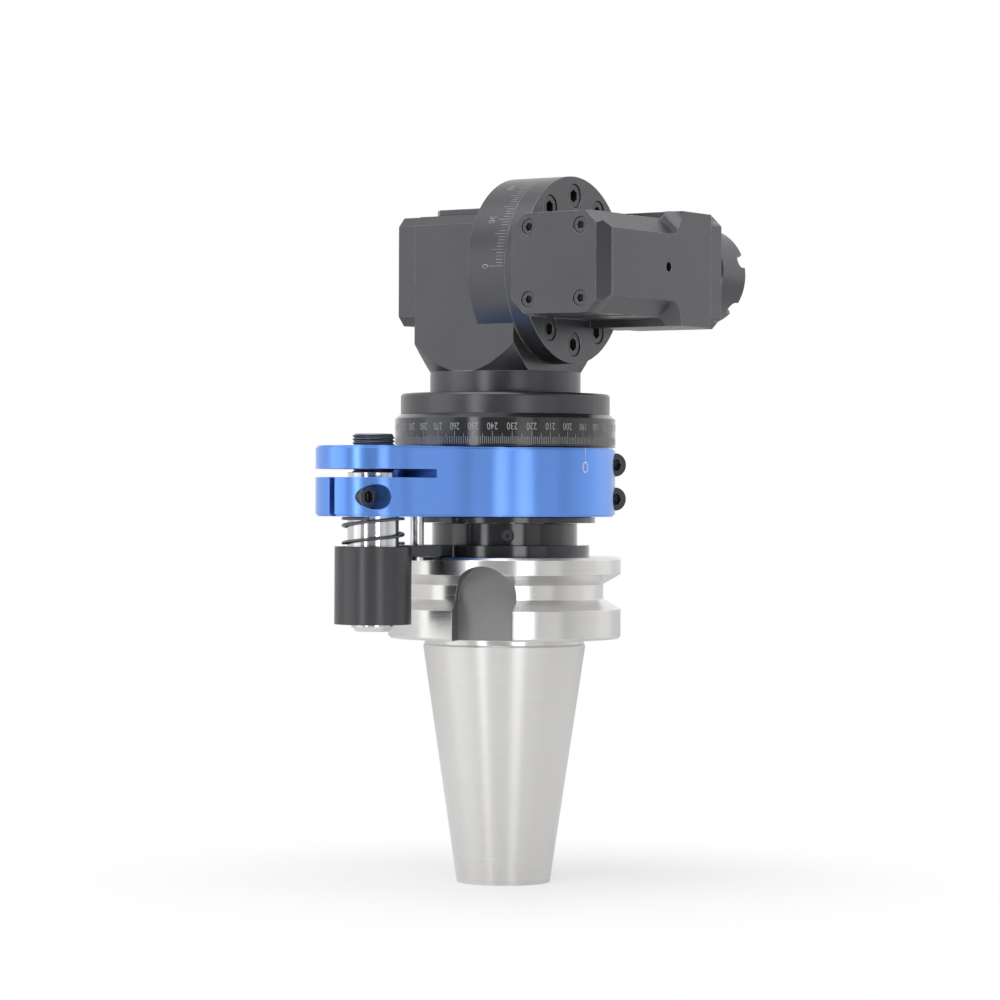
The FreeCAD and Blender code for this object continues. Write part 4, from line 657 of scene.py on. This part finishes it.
def turned_flat(bm, verts, quarter_turns):
    """Turns flat marks about their frame's own middle by quarter turns."""
    turn = Matrix.Rotation(quarter_turns * math.pi / 2, 3, "Z")
    bmesh.ops.rotate(bm, cent=(0, 0, 0), matrix=turn, verts=verts)


def wrapped(verts, radius, middle_angle, height):
    """Bends flat marks round the main axis: their X runs round it, their Y up, at one height."""
    for vert in verts:
        turn = middle_angle + vert.co.x / radius
        vert.co = Vector((math.sin(turn) * radius, -math.cos(turn) * radius, height + vert.co.y))


def wrapped_on_disc(verts, radius, middle_angle, place):
    """Bends flat marks round the tilt axis: their X runs along that axis, their Y up from the front."""
    for vert in verts:
        turn = middle_angle + vert.co.y / radius
        vert.co = Vector((place + vert.co.x, -math.cos(turn) * radius,
                          TILT_AXIS_HEIGHT + math.sin(turn) * radius))


def swivel_tick_length(degree):
    """How long the tick of a degree is."""
    values = scale_values()
    if degree % TEN_DEGREES == 0:
        return values.ten_degrees
    return values.five_degrees if degree % FIVE_DEGREES == 0 else values.one_degree


def swivel_place(degree):
    """Where a degree of the swivel scale stands round the main axis, from the front toward +X."""
    values = scale_values()
    return values.index_place - math.radians(degree) + values.reading


def swivel_scale():
    """Ticks for every degree and numbers, upside down, for every tenth, on the scale ring."""
    values = scale_values()
    radius = SCALE_RADIUS + values.relief
    floor = SCALE_LOW.z + values.tick_margin
    ticks = bmesh.new()
    for degree in range(4 * QUARTER_TURN):
        tall = swivel_tick_length(degree)
        verts = flat_plate(ticks, values.tick_width, tall)
        wrapped(verts, radius, swivel_place(degree), floor + tall / 2)
    paint = filled_mark("scale_paint", values_colour("marking"))
    finished(ticks, "swivel_scale_ticks", "head", paint)
    numbers = bmesh.new()
    line = floor + values.ten_degrees + values.number_gap + values.number_height / 2
    for degree in range(0, 4 * QUARTER_TURN, TEN_DEGREES):
        verts = lettering(numbers, str(degree), values.number_height, narrow=SWIVEL_LETTER_WIDTH)
        turned_flat(numbers, verts, 2)
        wrapped(verts, radius, swivel_place(degree), line)
    finished(numbers, "swivel_scale_numbers", "head", paint)


def values_colour(name):
    """One colour of the finish settings."""
    return tuple(getattr(settings(), name))


def tilt_scale():
    """Ticks for every second degree and numbers for every thirtieth, on the fixed tilt disc."""
    values = scale_values()
    radius = DISC_RADIUS + values.relief
    marks = bmesh.new()
    for degree in range(0, QUARTER_TURN + 1, TILT_TICK_STEP):
        wide = values.tilt_zero_tick if degree == 0 else values.tilt_tick
        if degree and degree % TEN_DEGREES == 0:
            wide = values.tilt_ten_tick
        verts = flat_plate(marks, wide, values.tick_width)
        wrapped_on_disc(verts, radius, math.radians(degree), values.tilt_tick_end - wide / 2)
    for degree in range(0, QUARTER_TURN + 1, TILT_NUMBER_STEP):
        verts = lettering(marks, str(degree), values.tilt_number_height)
        turned_flat(marks, verts, -1)
        wrapped_on_disc(verts, radius, math.radians(degree), values.tilt_number_place)
    finished(marks, "tilt_scale_marks", "head", filled_mark("tilt_paint", values_colour("marking")))


def index_mark():
    """The index line and its zero on the torque ring."""
    values = scale_values()
    radius = RING_HIGH.x + values.relief
    marks = bmesh.new()
    line = values.index_line
    verts = flat_plate(marks, values.tick_width * 1.2, line, (0, RING_HIGH.z - line / 2))
    zero = ring_mark(marks, values.index_zero_width, values.index_zero, values.index_stroke,
                     RING_HIGH.z - line - values.index_zero / 2)
    wrapped(verts + zero, radius, values.index_place, 0)
    finished(marks, "index_mark", "torque_ring", filled_mark("index_paint", values_colour("index_mark")))


def stud_thread():
    """The stud above the ring: a real helical thread on a chamfered core with a hexagon socket."""
    values = small_values()
    radius = (STUD_HIGH.x - STUD_LOW.x) / 2
    centre = Vector(((STUD_LOW.x + STUD_HIGH.x) / 2, (STUD_LOW.y + STUD_HIGH.y) / 2, 0))
    root = radius - values.thread_depth
    pitch = values.thread_pitch
    low, high = STUD_LOW.z, STUD_HIGH.z
    turns = int((high - low) / pitch) + 2
    bm = bmesh.new()
    flat = pitch / 8
    heights = (0, (pitch - flat) / 2, (pitch + flat) / 2, pitch)
    radii = (root, radius, radius, root)
    corners = [bm.verts.new((r, 0, low - pitch + h)) for r, h in zip(radii, heights)]
    edges = [bm.edges.new(pair) for pair in zip(corners, corners[1:])]
    steps = values.thread_steps
    bmesh.ops.spin(bm, geom=corners + edges, cent=(0, 0, 0), axis=(0, 0, 1), steps=steps * turns,
                   angle=math.tau * turns, dvec=(0, 0, pitch / steps))
    bmesh.ops.remove_doubles(bm, verts=bm.verts, dist=MERGE * 10)
    crest_end = high - values.thread_depth * 0.6
    for height, clear in ((low + pitch, "inner"), (crest_end, "outer")):
        bmesh.ops.bisect_plane(bm, geom=bm.verts[:] + bm.edges[:] + bm.faces[:], plane_co=(0, 0, height),
                               plane_no=(0, 0, 1), clear_outer=clear == "outer",
                               clear_inner=clear == "inner")
    bmesh.ops.holes_fill(bm, edges=[edge for edge in bm.edges if edge.is_boundary])
    turned_core(bm, root * 1.002, low, high, values.thread_depth * 0.4, values.socket_width)
    bmesh.ops.recalc_face_normals(bm, faces=bm.faces)
    bmesh.ops.translate(bm, vec=centre, verts=bm.verts)
    piece = finished(bm, "stud_thread", "torque_ring", finish_for("screw_black"))
    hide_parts("stop_pin_stud")


def turned_core(bm, radius, low, high, chamfer, socket):
    """A closed core with a chamfered rim and a hexagon socket in its top."""
    rim = bmesh.ops.create_circle(bm, segments=CORE_STEPS, radius=radius)["verts"]
    bmesh.ops.translate(bm, vec=(0, 0, low), verts=rim)
    bottom = bmesh.ops.contextual_create(bm, geom=rim)["faces"]
    wall = bmesh.ops.extrude_edge_only(bm, edges=bottom[0].edges[:])["geom"]
    top = [item for item in wall if isinstance(item, bmesh.types.BMVert)]
    bmesh.ops.translate(bm, vec=(0, 0, high - chamfer - low), verts=top)
    slope = bmesh.ops.extrude_edge_only(bm, edges=boundary_of(top))["geom"]
    edge = [item for item in slope if isinstance(item, bmesh.types.BMVert)]
    bmesh.ops.translate(bm, vec=(0, 0, chamfer), verts=edge)
    bmesh.ops.scale(bm, vec=(1 - chamfer / radius,) * 2 + (1,), verts=edge)
    corner = socket / math.sqrt(3)
    hexagon = bmesh.ops.create_circle(bm, segments=6, radius=corner)["verts"]
    bmesh.ops.translate(bm, vec=(0, 0, high), verts=hexagon)
    mouth = boundary_of(hexagon)
    bmesh.ops.bridge_loops(bm, edges=boundary_of(edge) + mouth)
    sunk = bmesh.ops.extrude_edge_only(bm, edges=mouth)["geom"]
    floor = [item for item in sunk if isinstance(item, bmesh.types.BMVert)]
    bmesh.ops.translate(bm, vec=(0, 0, -socket * 0.8), verts=floor)
    bmesh.ops.contextual_create(bm, geom=floor)


def boundary_of(verts):
    """The open edges between these vertices."""
    chosen = set(verts)
    return [edge for edge in {e for vert in verts for e in vert.link_edges}
            if edge.other_vert(edge.verts[0]) in chosen and edge.verts[0] in chosen
            and len(edge.link_faces) < 2]


def spring():
    """The stop spring, round wire with closed end coils."""
    low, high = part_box("stop_spring")
    centre = (low + high) / 2
    outer = (high.x - low.x) / 2
    wire = SPRING_WIRE_RADIUS
    turns = small_values().spring_turns
    whole = SPRING_LOWER_END + turns + SPRING_UPPER_END
    curve = bpy.data.curves.new("spring_line", "CURVE")
    curve.dimensions = "3D"
    curve.bevel_depth = wire
    curve.bevel_resolution = 4
    curve.use_fill_caps = True
    line = curve.splines.new("NURBS")
    count = int(whole * SPRING_STEPS)
    line.points.add(count)
    line.order_u = 4
    line.use_endpoint_u = True
    floor, ceiling = low.z + wire, high.z - wire
    for index, point in enumerate(line.points):
        turn = whole * index / count
        rise = max(0.0, min(1.0, (turn - SPRING_LOWER_END) / turns))
        spot = math.tau * turn + SPRING_START
        point.co = (centre.x + math.cos(spot) * (outer - wire),
                    centre.y + math.sin(spot) * (outer - wire), floor + rise * (ceiling - floor), 1)
    holder = bpy.data.objects.new("spring_line", curve)
    bpy.context.scene.collection.objects.link(holder)
    bpy.context.view_layer.update()
    mesh = bpy.data.meshes.new_from_object(holder.evaluated_get(bpy.context.evaluated_depsgraph_get()))
    bpy.data.objects.remove(holder)
    bm = bmesh.new()
    bm.from_mesh(mesh)
    bmesh.ops.remove_doubles(bm, verts=bm.verts, dist=MERGE)
    bmesh.ops.recalc_face_normals(bm, faces=bm.faces)
    piece = finished(bm, "coil_spring", "torque_ring", finish_for("spring_black"), True)
    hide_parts("stop_spring")
    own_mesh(piece)


FLOOR_STEPS = 128
FLOOR_ROUGHNESS = 0.6
# How many times the shadow radius it takes for the floor's shadow to fade away
SHADOW_REACH = 5
# The room's dim side leans up this much, and its light starts to fall at this cosine from there
DIM_SIDE_RISE = 0.36
DIM_SIDE_START = -0.1


def stage_values():
    """The stage settings of this scene."""
    return bpy.context.scene.angle_head_stage


def white_when_seen(tree, links, plain, strength):
    """Shows a white surface to the camera by a share, and a plain one to the light."""
    path = tree.nodes.new("ShaderNodeLightPath").outputs["Is Camera Ray"]
    amount = tree.nodes.new("ShaderNodeMath")
    amount.operation = "MULTIPLY"
    links.new(path, amount.inputs[0])
    links.new(strength, amount.inputs[1])
    glow = tree.nodes.new("ShaderNodeEmission")
    glow.inputs["Strength"].default_value = 1
    mix = tree.nodes.new("ShaderNodeMixShader")
    links.new(amount.outputs[0], mix.inputs[0])
    links.new(plain, mix.inputs[1])
    links.new(glow.outputs[0], mix.inputs[2])
    return mix.outputs[0]


def pale_floor():
    """A pale floor at the tool's foot that goes over into the white of the room."""
    values = stage_values()
    bm = bmesh.new()
    bmesh.ops.create_circle(bm, cap_ends=True, segments=FLOOR_STEPS, radius=values.floor_radius)
    bmesh.ops.translate(bm, vec=(0, 0, CAD_BOX[0].z), verts=bm.verts)
    mesh = bpy.data.meshes.new("floor")
    bm.to_mesh(mesh)
    bm.free()
    floor = bpy.data.objects.new("floor", mesh)
    bpy.context.scene.collection.objects.link(floor)
    material = bpy.data.materials.new("floor_white")
    material.use_nodes = True
    tree = material.node_tree
    shader = tree.nodes["Principled BSDF"]
    shader.inputs["Base Color"].default_value = (*values.floor_white, 1)
    shader.inputs["Roughness"].default_value = FLOOR_ROUGHNESS
    place = tree.nodes.new("ShaderNodeTexCoord").outputs["Object"]
    flat = tree.nodes.new("ShaderNodeVectorMath")
    flat.operation = "MULTIPLY"
    flat.inputs[1].default_value = (1, 1, 0)
    reach = tree.nodes.new("ShaderNodeVectorMath")
    reach.operation = "LENGTH"
    fade = tree.nodes.new("ShaderNodeMapRange")
    fade.interpolation_type = "SMOOTHSTEP"
    near = values.shadow_radius
    for number, socket in zip((near, near * SHADOW_REACH, 1 - values.shadow, 1), fade.inputs[1:5]):
        socket.default_value = number
    tree.links.new(place, flat.inputs[0])
    tree.links.new(flat.outputs[0], reach.inputs[0])
    tree.links.new(reach.outputs["Value"], fade.inputs[0])
    seen = white_when_seen(tree, tree.links, shader.outputs[0], fade.outputs[0])
    tree.links.new(seen, tree.nodes["Material Output"].inputs["Surface"])
    mesh.materials.append(material)


def studio_room():
    """A white room that is pure white to the camera and dims toward the camera's own side."""
    values = stage_values()
    world = bpy.data.worlds.new("white_room")
    bpy.context.scene.world = world
    world.use_nodes = True
    tree = world.node_tree
    room = tree.nodes["Background"]
    toward = tree.nodes.new("ShaderNodeVectorMath")
    toward.operation = "DOT_PRODUCT"
    tree.links.new(tree.nodes.new("ShaderNodeTexCoord").outputs["Generated"], toward.inputs[0])
    toward.inputs[1].default_value = (math.sin(values.azimuth), -math.cos(values.azimuth),
                                      DIM_SIDE_RISE)
    shade = tree.nodes.new("ShaderNodeMapRange")
    shade.interpolation_type = "SMOOTHSTEP"
    for number, socket in zip((DIM_SIDE_START, 1.0, 1.0, values.near_side), shade.inputs[1:5]):
        socket.default_value = number
    tree.links.new(toward.outputs["Value"], shade.inputs[0])
    tree.links.new(shade.outputs[0], room.inputs["Color"])
    path = tree.nodes.new("ShaderNodeLightPath")
    level = tree.nodes.new("ShaderNodeMix")
    tree.links.new(path.outputs["Is Glossy Ray"], level.inputs[0])
    level.inputs[2].default_value = values.room_light
    level.inputs[3].default_value = 1
    tree.links.new(level.outputs[0], room.inputs["Strength"])
    white = tree.nodes.new("ShaderNodeBackground")
    white.inputs["Color"].default_value = (1, 1, 1, 1)
    white.inputs["Strength"].default_value = 1
    clear = tree.nodes.new("ShaderNodeMath")
    clear.operation = "MAXIMUM"
    tree.links.new(path.outputs["Is Camera Ray"], clear.inputs[0])
    tree.links.new(path.outputs["Is Transmission Ray"], clear.inputs[1])
    mix = tree.nodes.new("ShaderNodeMixShader")
    tree.links.new(clear.outputs[0], mix.inputs[0])
    tree.links.new(room.outputs[0], mix.inputs[1])
    tree.links.new(white.outputs[0], mix.inputs[2])
    tree.links.new(mix.outputs[0], tree.nodes["World Output"].inputs["Surface"])


def soft_lamp(name, power, width, height, turn=0, rise=0, distance=1.2, level=0.0):
    """A soft area lamp that looks at the tool, turned and raised by degrees from the camera's side."""
    middle = Vector((0, 0, level))
    course = stage_values().azimuth + math.radians(turn)
    climb = math.radians(rise)
    away = Vector((math.sin(course) * math.cos(climb), -math.cos(course) * math.cos(climb),
                   math.sin(climb)))
    data = bpy.data.lights.new(name, "AREA")
    data.energy = power
    data.shape = "RECTANGLE"
    data.size = width
    data.size_y = height
    lamp = bpy.data.objects.new(name, data)
    bpy.context.scene.collection.objects.link(lamp)
    lamp.location = middle + away * distance
    lamp.rotation_euler = (-away).to_track_quat("-Z", "Y").to_euler()


def soft_lamps():
    """The lamp overhead, the low one in front, two at the left and two at the right."""
    values = stage_values()
    soft_lamp("key_lamp", values.key_power, width=1.6, height=1.2, turn=-20, rise=62, distance=1.3)
    soft_lamp("table_lamp", values.table_power, width=0.36, height=0.16, turn=20, level=-0.02)
    soft_lamp("strip_lamp", values.strip_power, width=0.2, height=0.62, turn=-32, level=0.22)
    soft_lamp("left_lamp", values.left_power, width=0.8, height=0.9, turn=-72, rise=6, level=0.1)
    soft_lamp("right_lamp", values.right_power, width=0.5, height=0.7, turn=45, level=0.1)
    soft_lamp("fill_lamp", values.fill_power, width=0.6, height=1.0, turn=116, rise=14, level=0.1)


def level_camera():
    """A level camera whose picture holds the main axis where the photograph does."""
    values = stage_values()
    data = bpy.data.cameras.new("camera")
    data.lens = values.lens
    data.sensor_width = SENSOR_WIDTH
    data.shift_x = -(values.axis_pixel - PICTURE_WIDTH / 2) / PICTURE_WIDTH
    camera = bpy.data.objects.new("camera", data)
    bpy.context.scene.collection.objects.link(camera)
    turn = (Matrix.Rotation(values.azimuth, 4, "Z") @ Matrix.Rotation(math.pi / 2, 4, "X")
            @ Matrix.Rotation(values.roll, 4, "Z"))
    spot = Vector((math.sin(values.azimuth), -math.cos(values.azimuth), 0)) * values.distance
    camera.matrix_world = Matrix.Translation(spot + Vector((0, 0, values.eye_height))) @ turn
    bpy.context.scene.camera = camera
    bpy.context.scene.view_settings.view_transform = "Standard"


SHANK_NODES = ["taper_shank", "lock_collar", "shank_spacer", "drive_shaft"]
HEAD_NODES = ["head_housing", "side_cover", "top_cover", "spindle_housing", "rear_cover", "front_cover"]
RING_NODES = ["torque_ring", "scale_ring", "hub_end_cap"]
STOP_NODES = ["stop_pin", "guide_rod", "lock_sleeve", "lock_arm"]
SPINDLE_NODES = ["output_spindle", "collet", "collet_nut"]
SCREW_NODES = [name for name in NODES if name.endswith("_screws") or name == "pin_clamp_screw"]
INNER_NODES = [name for name in NODES if name not in SHANK_NODES + HEAD_NODES + RING_NODES
               + STOP_NODES + SPINDLE_NODES + SCREW_NODES + ["stop_pin_stud", "stop_spring"]]


def dressed(nodes):
    """Dresses some CAD nodes and says how it went, or stops where one is missing."""
    missing = [name for name in nodes if name not in NODES]
    if missing:
        raise RuntimeError("no such nodes in the frame: " + ", ".join(missing))
    dress(nodes)
    return {"FINISHED"}


class ANGLEHEAD_OT_shank(bpy.types.Operator):
    """Dress the taper shank, its collar, spacer and shaft."""
    bl_idname = "angle_head.shank"
    bl_label = "Shank"

    def execute(self, context):
        return dressed(SHANK_NODES)


class ANGLEHEAD_OT_housings(bpy.types.Operator):
    """Dress the head, the spindle housing and their covers."""
    bl_idname = "angle_head.housings"
    bl_label = "Housings and Covers"

    def execute(self, context):
        return dressed(HEAD_NODES)


class ANGLEHEAD_OT_ring(bpy.types.Operator):
    """Dress the torque ring and the scale ring, and set the index."""
    bl_idname = "angle_head.ring"
    bl_label = "Torque Ring and Index"

    def execute(self, context):
        index_mark()
        return dressed(RING_NODES)


class ANGLEHEAD_OT_swivel_scale(bpy.types.Operator):
    """Mark the swivel scale round the main axis."""
    bl_idname = "angle_head.swivel_scale"
    bl_label = "Swivel Scale"

    def execute(self, context):
        swivel_scale()
        return {"FINISHED"}


class ANGLEHEAD_OT_tilt_scale(bpy.types.Operator):
    """Mark the tilt scale round the tilt axis."""
    bl_idname = "angle_head.tilt_scale"
    bl_label = "Tilt Scale"

    def execute(self, context):
        tilt_scale()
        return {"FINISHED"}


class ANGLEHEAD_OT_stop_pin(bpy.types.Operator):
    """Dress the stop pin's group, and make its thread and spring."""
    bl_idname = "angle_head.stop_pin"
    bl_label = "Stop Pin, Thread and Spring"

    def execute(self, context):
        stud_thread()
        spring()
        return dressed(STOP_NODES)


class ANGLEHEAD_OT_spindle(bpy.types.Operator):
    """Dress the output spindle, its collet and its nut."""
    bl_idname = "angle_head.spindle"
    bl_label = "Spindle and Collet Nut"

    def execute(self, context):
        return dressed(SPINDLE_NODES)


class ANGLEHEAD_OT_screws(bpy.types.Operator):
    """Dress the screws."""
    bl_idname = "angle_head.screws"
    bl_label = "Screws"

    def execute(self, context):
        return dressed(SCREW_NODES)


class ANGLEHEAD_OT_inner_parts(bpy.types.Operator):
    """Dress the gears, bearings, seals and shafts inside."""
    bl_idname = "angle_head.inner_parts"
    bl_label = "Inner Parts"

    def execute(self, context):
        return dressed(INNER_NODES)


class ANGLEHEAD_OT_stage(bpy.types.Operator):
    """Set the floor, the white room, the lamps and the camera."""
    bl_idname = "angle_head.stage"
    bl_label = "Stage"

    def execute(self, context):
        pale_floor()
        studio_room()
        soft_lamps()
        level_camera()
        return {"FINISHED"}


OPERATORS = (
    ANGLEHEAD_OT_shank,
    ANGLEHEAD_OT_housings,
    ANGLEHEAD_OT_ring,
    ANGLEHEAD_OT_swivel_scale,
    ANGLEHEAD_OT_tilt_scale,
    ANGLEHEAD_OT_stop_pin,
    ANGLEHEAD_OT_spindle,
    ANGLEHEAD_OT_screws,
    ANGLEHEAD_OT_inner_parts,
    ANGLEHEAD_OT_stage,
)
SETTINGS = {
    "angle_head_finish": FinishSettings,
    "angle_head_scale": ScaleSettings,
    "angle_head_small": SmallPartSettings,
    "angle_head_stage": StageSettings,
}


class ANGLEHEAD_PT_steps(bpy.types.Panel):
    """Lists the steps that dress the angle head, with their settings."""
    bl_idname = "ANGLEHEAD_PT_steps"
    bl_label = "Angle Head"
    bl_space_type = "VIEW_3D"
    bl_region_type = "UI"
    bl_category = "Angle Head"

    def draw(self, context):
        for operator in OPERATORS:
            self.layout.operator(operator.bl_idname)
        for name, group in SETTINGS.items():
            box = self.layout.box()
            for field in group.__annotations__:
                box.prop(getattr(context.scene, name), field)


def register():
    """Adds the settings, the operators and the panel to Blender."""
    for group in SETTINGS.values():
        bpy.utils.register_class(group)
    for name, group in SETTINGS.items():
        setattr(bpy.types.Scene, name, PointerProperty(type=group))
    for operator in OPERATORS:
        bpy.utils.register_class(operator)
    bpy.utils.register_class(ANGLEHEAD_PT_steps)


def unregister():
    """Takes everything that register adds out again."""
    bpy.utils.unregister_class(ANGLEHEAD_PT_steps)
    for operator in reversed(OPERATORS):
        bpy.utils.unregister_class(operator)
    for name, group in SETTINGS.items():
        delattr(bpy.types.Scene, name)
        bpy.utils.unregister_class(group)


def main():
    """Dresses the angle head step by step."""
    register()
    for operator in OPERATORS:
        group, name = operator.bl_idname.split(".")
        getattr(getattr(bpy.ops, group), name)()


if __name__ == "__main__":
    main()
